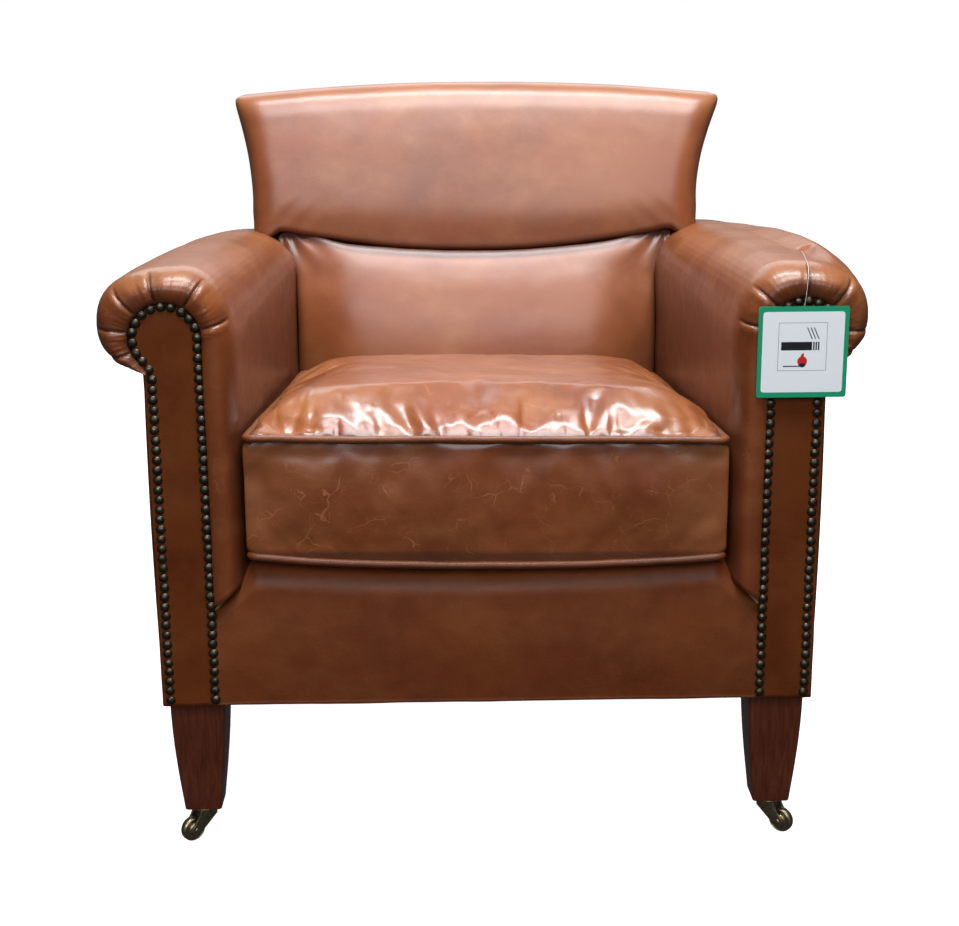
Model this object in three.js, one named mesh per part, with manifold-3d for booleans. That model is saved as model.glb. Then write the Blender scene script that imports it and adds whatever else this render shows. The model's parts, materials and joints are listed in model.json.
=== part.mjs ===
// A worn leather club chair: hardwood frame, springs and webbing, padding, leather covers, a loose
// seat cushion, wooden legs and two brass castors. Millimetres, +Z up, the sitter faces -Y.
// The origin is on the floor under the middle of the chair. "left" is the side at -X.
import * as THREE from "three";
import { LoftGeometry } from "three/addons/geometries/LoftGeometry.js";
import { mergeVertices } from "three/addons/utils/BufferGeometryUtils.js";
import Module from "manifold-3d";

const wasm = await Module();
wasm.setup();

// ---- Driving dimensions ----

const gap = 0.3; // between pieces that touch
const hide = 2; // thickness of the leather
const beyond = 500; // further out than any piece, for shapes that cut right through
const front = -375; // front of the rolled arms
const rear = 295; // rear face at the foot of the back
const skirt = 180; // lower edge of the leather
const deck = 335; // top of the seat platform
const deckFoot = 306; // its underside, on the hessian
const cushionTop = 471; // upper seam of the seat cushion
const cushionCrown = 500;
const armOuter = 347; // outside face of the arm
const armTop = 645;
const crease = 580; // where the lumbar panel meets the upper back
const backTop = 800; // at the middle
const backArch = 16; // how much lower its corners are
const backRake = 0.08; // how far the rear face leans back, for each millimetre of height

const arm = {
  inner: 252.5, // inside face at the front, from the middle
  drawIn: 0.023, // how much the arms draw together, for each millimetre back
  fall: 0.035, // how much their tops fall, for each millimetre back
  scrollReach: 391, // furthest point of the rolled top, from the middle
  scrollMid: 588, // height of that point
  scrollUnder: 541, // where the roll meets the outside panel
  ridge: 308, // distance of the highest line from the middle
  wall: 284, // outer side of the padding on the inside of the arm
  foot: 303, // lower edge of the inside cover
  facingFront: -368, // front face of the arm facing
  sheet: 2.2, // thickness of the outside panel
};

const upper = { waist: 300, flare: 32, waistHeight: 655, corner: 14, front: 200, lean: 62, hollow: 16 };
const lumbar = { half: 236, front: 142, rear: 236, foot: deck + 1.5 };
const outsideBack = { thick: 2.4, waist: 296, waistHeight: 655, corner: 318, cornerHeight: 772 };
const facing = { inner: 289.5, outer: 337, edge: 3.5, rear: -360 };
const arch = { middle: 322, height: 576, radius: 32.5, end: -0.7 }; // end: where it turns back to the edge
const nail = { head: 10.4, height: 3.2, first: 187 };

const rail = { thick: 25, top: 270, front: -358, frontTop: 306, rear: 266, sideFront: -310 };
const post = { inner: 290, outer: 343, front: -360, depth: 50, foot: 180, top: 528 };
const armRail = { top: 556, rear: 290 };
const backPost = { inner: 258, outer: 284, top: 745, front: 240, rake: 0.1024, behind: 4.5 };
const tackRail = { front: 240, rear: 258, foot: 345, top: 395 };
const crest = { front: 304, rear: 330, footHalf: 288, topHalf: 300, drop: 12 };
const spring = { count: 4, spacing: 110, wire: 1.8, width: 52, bends: 11, front: -330, rear: 262 };
const springLine = { height: 292, sag: 14 };
const hessian = { half: 280, front: -332, rear: 236, thick: 1.5 };
const web = { count: 3, spacing: 150, width: 50, foot: 400, top: 740, thick: 2, before: 10 };

const seatFront = { setBack: 9, swell: 3, nose: 30, rear: -300, foot: 308, deckHalf: 238, coverRear: 138 };
const cushion = { frontHalf: 243.5, rearHalf: 230, front: -368, rear: 131, corner: 16, cord: 8.5, sink: 38 };
const zip = { half: 200, foot: 400, top: 406 };

const leg = { topHalf: 29.5, footHalf: 20, middle: 314, footMiddle: 315, y: -311, foot: 40, corner: 2.5 };
const rearLeg = { topHalf: 26, footHalf: 16, middle: 303, topY: 262, footY: 359, sweep: 1.6 };
const dust = { half: 340, front: -357, rear: 289, thick: 1 };
const castor = { trail: 18, wheel: 14, tread: 11, cheek: 2.6, axle: 2, pin: 3.5, turn: 40, slack: 0.5 };
const plate = { radius: 18, thick: 2.5, bevel: 1, headRadius: 5.2, headFoot: 25.6, headTop: 28.4 };
const horn = { foot: 29.5, before: -9, behind: 11, eye: 6.5, room: 0.8 };

// ---- Materials ----

const finish = (color, roughness, metalness = 0) =>
  new THREE.MeshStandardMaterial({ color, roughness, metalness });
const leather = finish(0x8a4b28, 0.35);
const leatherDark = finish(0x6e3820, 0.4);
const beech = finish(0xc8a477, 0.7);
const mahogany = finish(0x3f1a12, 0.35);
const foam = finish(0xe6d9a8, 0.95);
const jute = finish(0xa98a5b, 0.95);
const springSteel = finish(0x55585c, 0.4, 1);
const brass = finish(0x8c7444, 0.35, 1);
const blackCloth = finish(0x151515, 0.95);
const nylon = finish(0xdadada, 0.5);
const card = finish(0xe9ecf2, 0.7);

// ---- Solids ----

const chair = new THREE.Group();

// A closed geometry as a manifold-3d solid.
function solid(geometry) {
  const bare = new THREE.BufferGeometry();
  bare.setAttribute("position", geometry.attributes.position);
  bare.setIndex(geometry.index);
  const merged = mergeVertices(bare, 1e-3);
  return new wasm.Manifold(
    new wasm.Mesh({
      numProp: 3,
      vertProperties: new Float32Array(merged.attributes.position.array),
      triVerts: new Uint32Array(merged.index.array),
    }),
  );
}

function geometryOf(shape) {
  const mesh = shape.getMesh();
  const geometry = new THREE.BufferGeometry();
  geometry.setAttribute("position", new THREE.BufferAttribute(mesh.vertProperties, 3));
  geometry.setIndex(new THREE.BufferAttribute(mesh.triVerts, 1));
  geometry.computeVertexNormals();
  return geometry;
}

function add(name, shape, material, parent = chair) {
  const geometry = shape.isBufferGeometry ? shape : geometryOf(shape);
  const mesh = new THREE.Mesh(geometry, material);
  mesh.name = name;
  parent.add(mesh);
  return mesh;
}

// A box from its lowest to its highest corner.
function box([x0, y0, z0], [x1, y1, z1]) {
  const geometry = new THREE.BoxGeometry(x1 - x0, y1 - y0, z1 - z0);
  geometry.translate((x0 + x1) / 2, (y0 + y1) / 2, (z0 + z1) / 2);
  return solid(geometry);
}

// A shape pushed along Z from z0 up to z1.
function extruded(shape, z0, z1, curveSegments) {
  const geometry = new THREE.ExtrudeGeometry(shape, { depth: z1 - z0, curveSegments, bevelEnabled: false });
  return geometry.translate(0, 0, z0);
}

// A shape drawn in X and Y, from z0 up to z1.
const alongZ = (shape, z0, z1, curveSegments = 4) => solid(extruded(shape, z0, z1, curveSegments));

// A shape drawn in X and Z, from y0 back to y1.
function alongY(shape, y0, y1, curveSegments = 4) {
  return solid(extruded(shape, -y1, -y0, curveSegments).rotateX(Math.PI / 2));
}

// A shape drawn in Y and Z, from x0 across to x1.
function alongX(shape, x0, x1, curveSegments = 4) {
  return solid(extruded(shape, x0, x1, curveSegments).rotateX(Math.PI / 2).rotateZ(Math.PI / 2));
}

const polygon = (...points) => new THREE.Shape(points.map(([x, y]) => new THREE.Vector2(x, y)));

// A solid of revolution from [radius, length] pairs: about Z, or about Y through [x, z] if given.
function turned(profile, sides, centre) {
  const points = profile.map(([r, along]) => new THREE.Vector2(r, along));
  const geometry = new THREE.LatheGeometry(points, sides, Math.PI / sides);
  if (centre) geometry.translate(centre[0], 0, centre[1]);
  else geometry.rotateX(Math.PI / 2);
  return solid(geometry);
}

// A polygon whose corners are rounded off from r before each corner to r after it.
function roundedPolygon(corners, r) {
  const shape = new THREE.Shape();
  const points = corners.map(([x, y]) => new THREE.Vector2(x, y));
  points.forEach((corner, i) => {
    const before = points.at(i - 1).clone().sub(corner).setLength(r).add(corner);
    const after = points[(i + 1) % points.length].clone().sub(corner).setLength(r).add(corner);
    if (i === 0) shape.moveTo(before.x, before.y);
    else shape.lineTo(before.x, before.y);
    shape.quadraticCurveTo(corner.x, corner.y, after.x, after.y);
  });
  shape.closePath();
  return shape;
}

// A four-sided plan: frontHalf wide either side of the middle at y0 and rearHalf at y1.
function plan(frontHalf, rearHalf, y0, y1, r, middle = 0) {
  const corners = [[-frontHalf, y0], [frontHalf, y0], [rearHalf, y1], [-rearHalf, y1]];
  return roundedPolygon(corners.map(([x, y]) => [x + middle, y]), r);
}

// The points of a shape at one height.
function level(shape, z, divisions = 2) {
  const points = shape.getPoints(divisions).map((p) => new THREE.Vector3(p.x, p.y, z));
  return points.filter((p, i) => p.distanceTo(points[(i + 1) % points.length]) > 1e-6);
}

const loft = (sections) => solid(new LoftGeometry(sections, { capStart: true, capEnd: true }));

// Builds a right-hand half of the chair and its mirror image.
function onBothSides(build) {
  for (const [side, sign] of [["left", -1], ["right", 1]]) {
    const half = new THREE.Group();
    half.scale.x = sign;
    chair.add(half);
    build(side, half);
  }
}

// ---- The back's surfaces ----

const rearFace = (z) => rear + (z - skirt) * backRake;
const postFront = (z) => backPost.front + (z - post.foot) * backPost.rake;

// Everything behind the rear face of the back.
function behindBack(shift) {
  const top = 2 * beyond;
  const points = [[rearFace(0) + shift, 0], [top, 0], [top, top], [rearFace(top) + shift, top]];
  return alongX(polygon(...points), -beyond, beyond);
}

// Half width of the upper back: straight at the waist, then flaring out to the corners.
function backHalf(z) {
  const flare = Math.max(0, (z - upper.waistHeight) / (backTop - upper.waistHeight));
  return upper.waist + upper.flare * flare ** 1.7;
}

// Front face of the upper back, which is fullest just above the crease.
function backFront(z) {
  const t = (z - crease) / (backTop - crease);
  return upper.front + upper.lean * t - upper.hollow * Math.sin(Math.PI * Math.min(1, t * 1.15 + 0.05));
}

// The gently arched top of the back, lowered by drop and drawn out to half from the middle.
function archTop(shape, half, drop) {
  shape.lineTo(half, backTop - backArch - drop);
  shape.quadraticCurveTo(0, backTop + backArch - drop, -half, backTop - backArch - drop);
}

// The upper back as a solid, taken in by inset on its front, sides and top.
function upperBack(inset, rearShift) {
  const levels = [
    [crease + inset, 0],
    [620, 0],
    [upper.waistHeight, 0],
    [690, 0],
    [725, 0],
    [755, 0],
    [776, 4],
    [790, 13],
    [backTop + 1 - inset, 30],
  ];
  const widest = 785; // above this the corners round over
  const block = loft(
    levels.map(([z, rounding]) => {
      const half = backHalf(Math.min(z, widest)) - inset - rounding / 2;
      const y0 = backFront(z) + inset + rounding;
      return level(plan(half, half, y0, rearFace(z) + rearShift, upper.corner), z);
    }),
  );
  const outline = polygon([-beyond, crease], [beyond, crease]);
  archTop(outline, upper.waist + upper.flare, inset);
  return block.intersect(alongY(outline, 0, beyond, 6));
}

// ---- Frame ----

function buildFrame() {
  const { thick, front: railFront } = rail;
  const low = post.foot;
  const frontHalf = post.inner - gap;
  const tackHalf = backPost.inner - gap;
  const seatRear = rail.rear + thick;
  add("front_rail", box([-frontHalf, railFront, low], [frontHalf, railFront + thick, rail.frontTop]), beech);
  add("rear_rail", box([-post.outer, rail.rear, low], [post.outer, seatRear, rail.top]), beech);
  const { front: y0, rear: y1, foot, top } = tackRail;
  add("back_tack_rail", box([-tackHalf, y0, foot], [tackHalf, y1, top]), beech);
  add("crest_rail", alongY(crestOutline(), crest.front, crest.rear), beech);
  const postRear = post.front + post.depth;
  const sideInner = post.outer - thick;
  const sideRail = box([sideInner, rail.sideFront + gap, low], [post.outer, rail.rear - gap, rail.top]);
  const armPost = box([post.inner, post.front, low], [post.outer, postRear, post.top]);
  const restRail = box([post.inner, post.front, post.top + gap], [post.outer, armRail.rear, armRail.top]);
  onBothSides((side, half) => {
    add(`side_rail_${side}`, sideRail, beech, half);
    add(`arm_post_${side}`, armPost, beech, half);
    add(`arm_rail_${side}`, restRail, beech, half);
    add(`back_post_${side}`, alongX(backPostOutline(), backPost.inner, backPost.outer), beech, half);
  });
}

// The crest rail follows the flare and the arched top of the back.
function crestOutline() {
  const shape = polygon([-crest.footHalf, backPost.top + gap], [crest.footHalf, backPost.top + gap]);
  archTop(shape, crest.topHalf, crest.drop);
  return shape;
}

// A raked post, notched over the rear rail.
function backPostOutline() {
  const notch = rail.top + gap;
  return polygon(
    [postFront(post.foot), post.foot],
    [rail.rear - gap, post.foot],
    [rail.rear - gap, notch],
    [rearFace(notch) - backPost.behind, notch],
    [rearFace(backPost.top) - backPost.behind, backPost.top],
    [postFront(backPost.top), backPost.top],
  );
}

// ---- Springs, webbing and hessian ----

// A flat zigzag of wire running from the front rail to the rear rail.
class ZigzagCurve extends THREE.Curve {
  constructor(x, size) {
    super();
    Object.assign(this, { x, size });
  }

  getPoint(t, target = new THREE.Vector3()) {
    const { width, bends } = this.size;
    const swing = Math.sin(t * bends * Math.PI);
    const flat = Math.sign(swing) * Math.abs(swing) ** 0.6;
    const y = this.size.front + (this.size.rear - this.size.front) * t;
    const z = springLine.height - springLine.sag * (2 * t - 1) ** 2;
    return target.set(this.x + (width / 2) * flat, y, z);
  }
}

// Where one of several evenly spaced pieces stands across the chair.
const spaced = (i, { count, spacing }) => (i - (count - 1) / 2) * spacing;

function buildSuspension() {
  const section = new THREE.Shape().absarc(0, 0, spring.wire, 0, 2 * Math.PI);
  for (let i = 0; i < spring.count; i++) {
    const options = { steps: 3 * spring.bends, curveSegments: 2, bevelEnabled: false };
    const extrudePath = new ZigzagCurve(spaced(i, spring), spring);
    const wire = new THREE.ExtrudeGeometry(section, { ...options, extrudePath });
    add(`seat_spring_${i + 1}`, solid(wire), springSteel);
  }
  const { half, front: y0, rear: y1 } = hessian;
  add("seat_hessian", box([-half, y0, deckFoot - hessian.thick], [half, y1, deckFoot]), jute);
  const near = web.before;
  const far = web.before + web.thick;
  const strap = polygon(
    [postFront(web.foot) + near, web.foot],
    [postFront(web.foot) + far, web.foot],
    [postFront(web.top) + far, web.top],
    [postFront(web.top) + near, web.top],
  );
  for (let i = 0; i < web.count; i++) {
    const x = spaced(i, web);
    add(`back_web_${i + 1}`, alongX(strap, x - web.width / 2, x + web.width / 2), jute);
  }
}

// ---- Padding and covers of the seat and the back ----

// Side view of the seat's front edge, taken in by inset: a flat front with a rounded nose at the top.
function frontProfile(inset) {
  const y = front + seatFront.setBack + inset;
  const top = deck - inset;
  const foot = skirt + (inset ? 4 : 0);
  const railFace = rail.front - gap;
  const shape = new THREE.Shape();
  shape.moveTo(y, foot);
  shape.lineTo(y - seatFront.swell + 1, top - seatFront.nose);
  shape.quadraticCurveTo(y - seatFront.swell, top, y + seatFront.nose - 4, top);
  shape.lineTo(seatFront.rear, top);
  shape.lineTo(seatFront.rear, seatFront.foot);
  shape.lineTo(railFace, seatFront.foot);
  shape.lineTo(railFace, foot);
  return shape;
}

// What the arm's inside cover takes of the seat front: a seam that falls outwards to the facing.
function seamWedge(shift) {
  const start = armFace(front) - shift - 3;
  const end = facing.inner + 40;
  const above = deck + 20;
  const foot = arm.foot - shift;
  const points = [[start, above], [start, deck - 3], [facing.inner, foot], [end, foot], [end, above]];
  const mirrored = points.map(([x, z]) => [-x, z]).reverse();
  const [one, other] = [points, mirrored].map((p) => alongY(polygon(...p), front - 5, seatFront.rear + 1));
  return one.add(other);
}

function buildSeat() {
  const reach = facing.inner - facing.edge - gap;
  const past = reach + 9; // hollows run out through the ends
  const pad = alongX(frontProfile(hide + gap), -reach, reach).subtract(seamWedge(2));
  const whole = alongX(frontProfile(0), -reach, reach).subtract(seamWedge(2));
  const inside = alongX(frontProfile(hide), -past, past);
  const behind = box([-beyond, rail.front - gap, 0], [beyond, 0, seatFront.foot + 1]);
  add("seat_front_pad", pad, foam);
  add("seat_front_border", whole.subtract(inside).subtract(behind), leather);
  const { deckHalf, coverRear } = seatFront;
  const y0 = seatFront.rear + 1;
  const padTop = deck - hide - gap;
  add("seat_deck_pad", box([-deckHalf, y0, deckFoot + gap], [deckHalf, hessian.rear, padTop]), foam);
  add("seat_deck_cover", box([-deckHalf, y0, deck - hide], [deckHalf, coverRear, deck]), leatherDark);
}

// Side view of the lumbar panel, taken in by inset.
function lumbarProfile(inset) {
  const y = lumbar.front + inset;
  const top = crease - inset - gap;
  const shape = new THREE.Shape();
  shape.moveTo(y, lumbar.foot);
  shape.lineTo(y + 10, 440);
  shape.bezierCurveTo(y + 18, 520, y + 20, top, 196, top);
  shape.lineTo(lumbar.rear, top);
  shape.lineTo(lumbar.rear, lumbar.foot);
  return shape;
}

function buildBack() {
  const reach = lumbar.half;
  const whole = alongX(lumbarProfile(0), -reach, reach, 6);
  const inside = alongX(lumbarProfile(hide), -reach - 9, reach + 9, 6);
  add("lumbar_cover", whole.subtract(inside), leather);
  add("lumbar_pad", alongX(lumbarProfile(hide + gap), -reach, reach, 6), foam);

  const roomFoot = [-beyond, postFront(crease) - 1, crease - 5];
  const postRoom = box(roomFoot, [beyond, beyond, crease + hide + gap]);
  const shell = upperBack(0, -3).subtract(upperBack(hide, 20)).subtract(postRoom);
  add("upper_back_cover", shell, leather);
  add("upper_back_pad", upperBack(hide + gap, -3).subtract(postSpace()), foam);

  const raked = behindBack(-outsideBack.thick).subtract(behindBack(0));
  add("outside_back", alongY(outsideBackOutline(), 0, beyond, 6).intersect(raked), leather);
}

// The room that the back's padding leaves for the posts and the crest rail, open behind for the webbing.
function postSpace() {
  const half = backPost.outer + 3;
  const low = 500; // well below the padding
  const carcass = polygon([-half, low], [half, low], [half + 3, backPost.top - 1]);
  archTop(carcass, crest.topHalf + 3, crest.drop - 1);
  carcass.lineTo(-half - 3, backPost.top - 1);
  const far = 2 * beyond;
  const room = polygon([postFront(low) - gap, low], [far, low], [far, far], [postFront(far) - gap, far]);
  return alongY(carcass, 0, beyond, 6).intersect(alongX(room, -beyond, beyond));
}

// The outside back is full width below the arms, and as wide as the upper back above them.
function outsideBackOutline() {
  const foot = armOuter - 2.8;
  const shoulder = arm.scrollUnder - 1;
  const { waist, waistHeight, corner, cornerHeight } = outsideBack;
  const outline = new THREE.Shape();
  outline.moveTo(-foot, skirt);
  outline.lineTo(foot, skirt);
  outline.lineTo(foot, shoulder);
  outline.lineTo(waist, shoulder);
  outline.lineTo(waist, waistHeight);
  outline.quadraticCurveTo(waist + 8, 740, corner, cornerHeight);
  archTop(outline, corner - 2, 2);
  outline.lineTo(-corner, cornerHeight);
  outline.quadraticCurveTo(-waist - 8, 740, -waist, waistHeight);
  outline.lineTo(-waist, shoulder);
  outline.lineTo(-foot, shoulder);
  return outline;
}

// ---- Arms ----

// The inside face of the arm.
const armFace = (y) => arm.inner - (y - front) * arm.drawIn;

// The arm seen from the front, taken in by inset: flat inside, domed top, and a roll over the outside.
function armOutline(inset, y) {
  const inner = armFace(y) + inset;
  const out = arm.scrollReach - inset;
  const top = armTop - inset - (y - front) * arm.fall;
  const under = arm.scrollUnder + inset;
  const side = armOuter - hide - gap;
  const shape = new THREE.Shape();
  shape.moveTo(inner, deck - 3);
  shape.lineTo(inner, 552);
  shape.bezierCurveTo(inner, 610, inner + 22, top, arm.ridge, top);
  shape.bezierCurveTo(350, top, out, top - 9, out, arm.scrollMid);
  shape.bezierCurveTo(out, 562, 374 - inset, under, side, under);
  shape.lineTo(side, arm.foot);
  shape.lineTo(facing.inner, arm.foot);
  return shape.getPoints(5).map((p) => new THREE.Vector3(p.x, y, p.y));
}

// The whole arm, taken in by inset: a rounded front, and an end that follows the rake of the back.
function armBlock(inset) {
  const rounding = [[0, 20], [3, 11], [9, 5], [19, 1.2], [30, 0], [740, 0]];
  const sections = rounding.map(([back, pull]) => armOutline(inset + pull, front + inset + back));
  return loft(sections).subtract(behindBack(-inset));
}

// The tongue-shaped line that the nails follow, grown outwards by grow.
function tonguePath(grow) {
  const r = arch.radius + grow;
  const path = new THREE.Shape();
  const outer = facing.outer + grow;
  path.moveTo(facing.inner - grow, nail.first);
  path.lineTo(facing.inner - grow, arch.height);
  path.absarc(arch.middle, arch.height, r, Math.PI, arch.end, true);
  const x = arch.middle + r * Math.cos(arch.end);
  const z = arch.height + r * Math.sin(arch.end);
  path.bezierCurveTo(x - 5, z - 7, outer, 546, outer, 532);
  path.lineTo(outer, nail.first);
  return path;
}

// A band of nail heads along the tongue.
function nailBand() {
  const outside = tonguePath(nail.head / 2).getPoints(6);
  const inside = tonguePath(-nail.head / 2).getPoints(6);
  return new THREE.Shape([...outside, ...inside.reverse()]);
}

function facingOutline(grow) {
  const shape = tonguePath(facing.edge + grow);
  shape.lineTo(facing.outer + facing.edge + grow, skirt - grow);
  shape.lineTo(facing.inner - facing.edge - grow, skirt - grow);
  return shape;
}

// The room below the roll, up to top: the rail side, and a notch behind the facing's outer edge.
function underRoll(top) {
  const y = post.front - 1;
  const low = 200;
  const inside = box([arm.wall, y, low], [beyond, beyond, top]);
  return inside.add(box([facing.outer, front - 5, low], [beyond, y, top + facing.edge]));
}

function buildArms() {
  const behindLumbar = box([-beyond, lumbar.rear + 0.5, 0], [outsideBack.waist + 1, beyond, crease + 3]);
  const nailRoom = nail.head / 2 - facing.edge + gap;
  const facingRoom = alongY(facingOutline(gap), front - 5, facing.rear + 1, 6).add(
    alongY(facingOutline(nailRoom), front - 5, arm.facingFront, 6),
  );
  const railRoom = box([arm.wall, post.front - 1, 200], [post.outer + gap, beyond, armRail.top + gap]);
  const taken = upperBack(-0.8, 30).add(behindLumbar).add(facingRoom).add(railRoom);
  const skin = armBlock(0).subtract(armBlock(hide)).subtract(underRoll(arm.scrollUnder - gap));
  const padding = armBlock(hide + gap).subtract(underRoll(arm.scrollUnder + hide + gap));
  const cover = skin.subtract(taken);
  const pad = padding.subtract(taken);
  const returnEdge = facing.outer + facing.edge + 1.3;
  const sheetFront = arm.facingFront + 1;
  const sideSheet = polygon(
    [returnEdge, sheetFront],
    [armOuter, sheetFront],
    [armOuter, beyond],
    [armOuter - arm.sheet, beyond],
    [armOuter - arm.sheet, sheetFront + arm.sheet],
    [returnEdge, sheetFront + arm.sheet],
  );
  const outside = alongZ(sideSheet, skirt, arm.scrollUnder - gap).subtract(behindBack(0));
  const tongue = alongY(facingOutline(0), arm.facingFront, facing.rear - gap, 6);
  const nailBack = arm.facingFront - gap;
  const nails = alongY(nailBand(), nailBack - nail.height, nailBack);
  onBothSides((side, half) => {
    add(`arm_cover_${side}`, cover, leather, half);
    add(`arm_pad_${side}`, pad, foam, half);
    add(`outside_arm_${side}`, outside, leather, half);
    add(`arm_facing_${side}`, tongue, leather, half);
    add(`nail_trim_${side}`, nails, brass, half);
  });
}

// ---- Seat cushion ----

// The outline of the cushion, grown outwards by grow.
function cushionPlan(grow, corner) {
  const { frontHalf, rearHalf, front: y0, rear: y1 } = cushion;
  return plan(frontHalf + grow, rearHalf + grow, y0 - grow, y1 + grow, corner);
}

// The box cushion, taken in by inset: a flat foot, an upright border and a crowned top.
function cushionBlock(inset) {
  const foot = deck + 1 + inset;
  const levels = [
    [foot, 0],
    [foot + 12, 0],
    [foot + 45, -3],
    [cushionTop - 45, -3],
    [cushionTop - 8, 0],
    [cushionTop + 2 - inset, 1],
    [cushionTop + 12 - inset, 22],
    [cushionTop + 21 - inset, 65],
    [cushionCrown - inset, 140],
  ];
  return loft(levels.map(([z, pull]) => level(cushionPlan(-inset - pull, cushion.corner - inset), z)));
}

// Corded edging around the cushion, centred on one height.
function cushionPiping(z) {
  const { cord, corner } = cushion;
  const shape = cushionPlan(gap + cord, corner + cord);
  shape.holes.push(cushionPlan(gap, corner));
  return alongZ(shape, z - cord / 2, z + cord / 2, 2);
}

// A sat-on cushion: its top sinks towards the back, and its foot stays flat.
function settled(shape) {
  const geometry = geometryOf(shape);
  const places = geometry.attributes.position;
  for (let i = 0; i < places.count; i++) {
    const back = (places.getY(i) - cushion.front) / (cushion.rear - cushion.front);
    const up = (places.getZ(i) - deck) / (cushionTop - deck);
    places.setZ(i, places.getZ(i) - cushion.sink * back * up);
  }
  geometry.computeVertexNormals();
  return geometry;
}

function buildCushion() {
  const zipSlot = box([-zip.half, cushion.rear - 30, zip.foot], [zip.half, cushion.rear + 30, zip.top]);
  const cover = cushionBlock(0).subtract(cushionBlock(hide)).subtract(zipSlot);
  add("cushion_cover", settled(cover), leather);
  add("cushion_core", settled(cushionBlock(hide + gap)), foam);
  add("cushion_piping_top", settled(cushionPiping(cushionTop - 3)), leatherDark);
  add("cushion_piping_bottom", settled(cushionPiping(deck + 7)), leatherDark);
}

// ---- Legs ----

// A square leg whose sides curve in towards the foot.
function frontLeg() {
  const top = post.foot - gap;
  const sections = [];
  const steps = 7;
  for (let i = 0; i <= steps; i++) {
    const t = i / steps;
    const half = leg.footHalf + (leg.topHalf - leg.footHalf) * Math.sin((t * Math.PI) / 2);
    const x = leg.footMiddle + (leg.middle - leg.footMiddle) * t;
    const outline = plan(half, half, leg.y - half, leg.y + half, leg.corner, x);
    sections.push(level(outline, leg.foot + (top - leg.foot) * t, 1));
  }
  return loft(sections);
}

// A square leg swept back to the floor.
function backLeg() {
  const top = post.foot - gap;
  const sections = [];
  const steps = 8;
  for (let i = 0; i <= steps; i++) {
    const t = i / steps;
    const half = rearLeg.footHalf + (rearLeg.topHalf - rearLeg.footHalf) * t;
    const y = rearLeg.topY + (rearLeg.footY - rearLeg.topY) * (1 - t) ** rearLeg.sweep;
    const outline = plan(half, half, y - half, y + half, leg.corner, rearLeg.middle);
    sections.push(level(outline, top * t, 1));
  }
  return loft(sections);
}

// The dust cover, with room for the tops of the four legs.
function dustSheet() {
  const top = post.foot - gap;
  let sheet = box([-dust.half, dust.front, top - dust.thick], [dust.half, dust.rear, top]);
  const frontRoom = [leg.middle, leg.y, leg.topHalf + 1];
  const rearRoom = [rearLeg.middle, rearLeg.topY + 2, rearLeg.topHalf + 3];
  for (const [middle, y, half] of [frontRoom, rearRoom]) {
    for (const x of [-middle, middle]) {
      sheet = sheet.subtract(box([x - half, y - half, 0], [x + half, y + half, beyond]));
    }
  }
  return sheet;
}

function buildLegs() {
  add("dust_cover", dustSheet(), blackCloth);
  onBothSides((side, half) => {
    add(`front_leg_${side}`, frontLeg(), mahogany, half);
    add(`rear_leg_${side}`, backLeg(), mahogany, half);
    buildCastor(side, half);
  });
}

// ---- Castors ----

// A castor in its own frame: the pin stands on Z at the origin and the wheel trails along +X.
function buildCastor(side, parent) {
  const holder = new THREE.Group();
  holder.position.set(leg.footMiddle, leg.y, 0);
  holder.rotation.z = THREE.MathUtils.degToRad(-castor.turn);
  parent.add(holder);
  add(`castor_plate_${side}`, castorPlate(), brass, holder);
  add(`castor_horn_${side}`, castorHorn(), brass, holder);
  add(`castor_wheel_${side}`, castorWheel(), brass, holder);
  add(`castor_axle_${side}`, castorAxle(), brass, holder);
}

// The round plate under the leg, its pin, and the pin's riveted head below the horn.
function castorPlate() {
  const top = leg.foot - gap;
  const foot = top - plate.thick;
  const profile = [
    [0, plate.headFoot],
    [plate.headRadius, plate.headFoot],
    [plate.headRadius, plate.headTop],
    [castor.pin, plate.headTop + 0.4],
    [castor.pin, foot],
    [plate.radius, foot],
    [plate.radius, top - plate.bevel],
    [plate.radius - plate.bevel, top],
    [0, top],
  ];
  return turned(profile, 18);
}

// Inner face of the horn's cheeks, from the middle of the wheel.
const cheekInside = castor.tread / 2 + horn.room;

// Two curved cheeks under a block that turns on the pin.
function castorHorn() {
  const { trail, wheel, cheek, axle, pin, slack } = castor;
  const top = leg.foot - plate.thick - 2 * gap;
  const shape = new THREE.Shape();
  shape.moveTo(horn.before, top);
  shape.lineTo(horn.before, horn.foot - 2);
  shape.quadraticCurveTo(0, 20, trail - horn.eye, wheel - 3);
  shape.absarc(trail, wheel, horn.eye, Math.PI * 1.1, Math.PI * 2.35);
  shape.quadraticCurveTo(trail - 4, 27, horn.behind, top);
  const cheeks = [cheekInside, -cheekInside - cheek].map((y) => alongY(shape, y, y + cheek));
  const half = cheekInside + 1;
  const block = box([horn.before, -half, horn.foot], [horn.behind, half, top]);
  const far = leg.foot;
  const pinHole = turned([[0, 0], [pin + slack, 0], [pin + slack, far], [0, far]], 16);
  const axleEnds = [[0, -far], [axle + slack, -far], [axle + slack, far], [0, far]];
  const axleHole = turned(axleEnds, 12, [trail, wheel]);
  return block.add(cheeks[0]).add(cheeks[1]).subtract(pinHole).subtract(axleHole);
}

function castorWheel() {
  const { trail, wheel, tread, axle, slack } = castor;
  const sides = 24;
  const rim = wheel / Math.cos(Math.PI / sides); // its flats touch the floor
  const half = tread / 2;
  const bore = axle + slack;
  const lip = [[rim - 3, half - 1.5], [rim - 1.8, half - 0.6], [rim, half - 3]];
  const oneSide = [[6, half], [7, half - 1.5], ...lip];
  const otherSide = oneSide.map(([r, along]) => [r, -along]);
  const profile = [[bore, -half], ...otherSide, ...oneSide.reverse(), [bore, half], [bore, -half]];
  return turned(profile, sides, [trail, wheel]);
}

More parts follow.
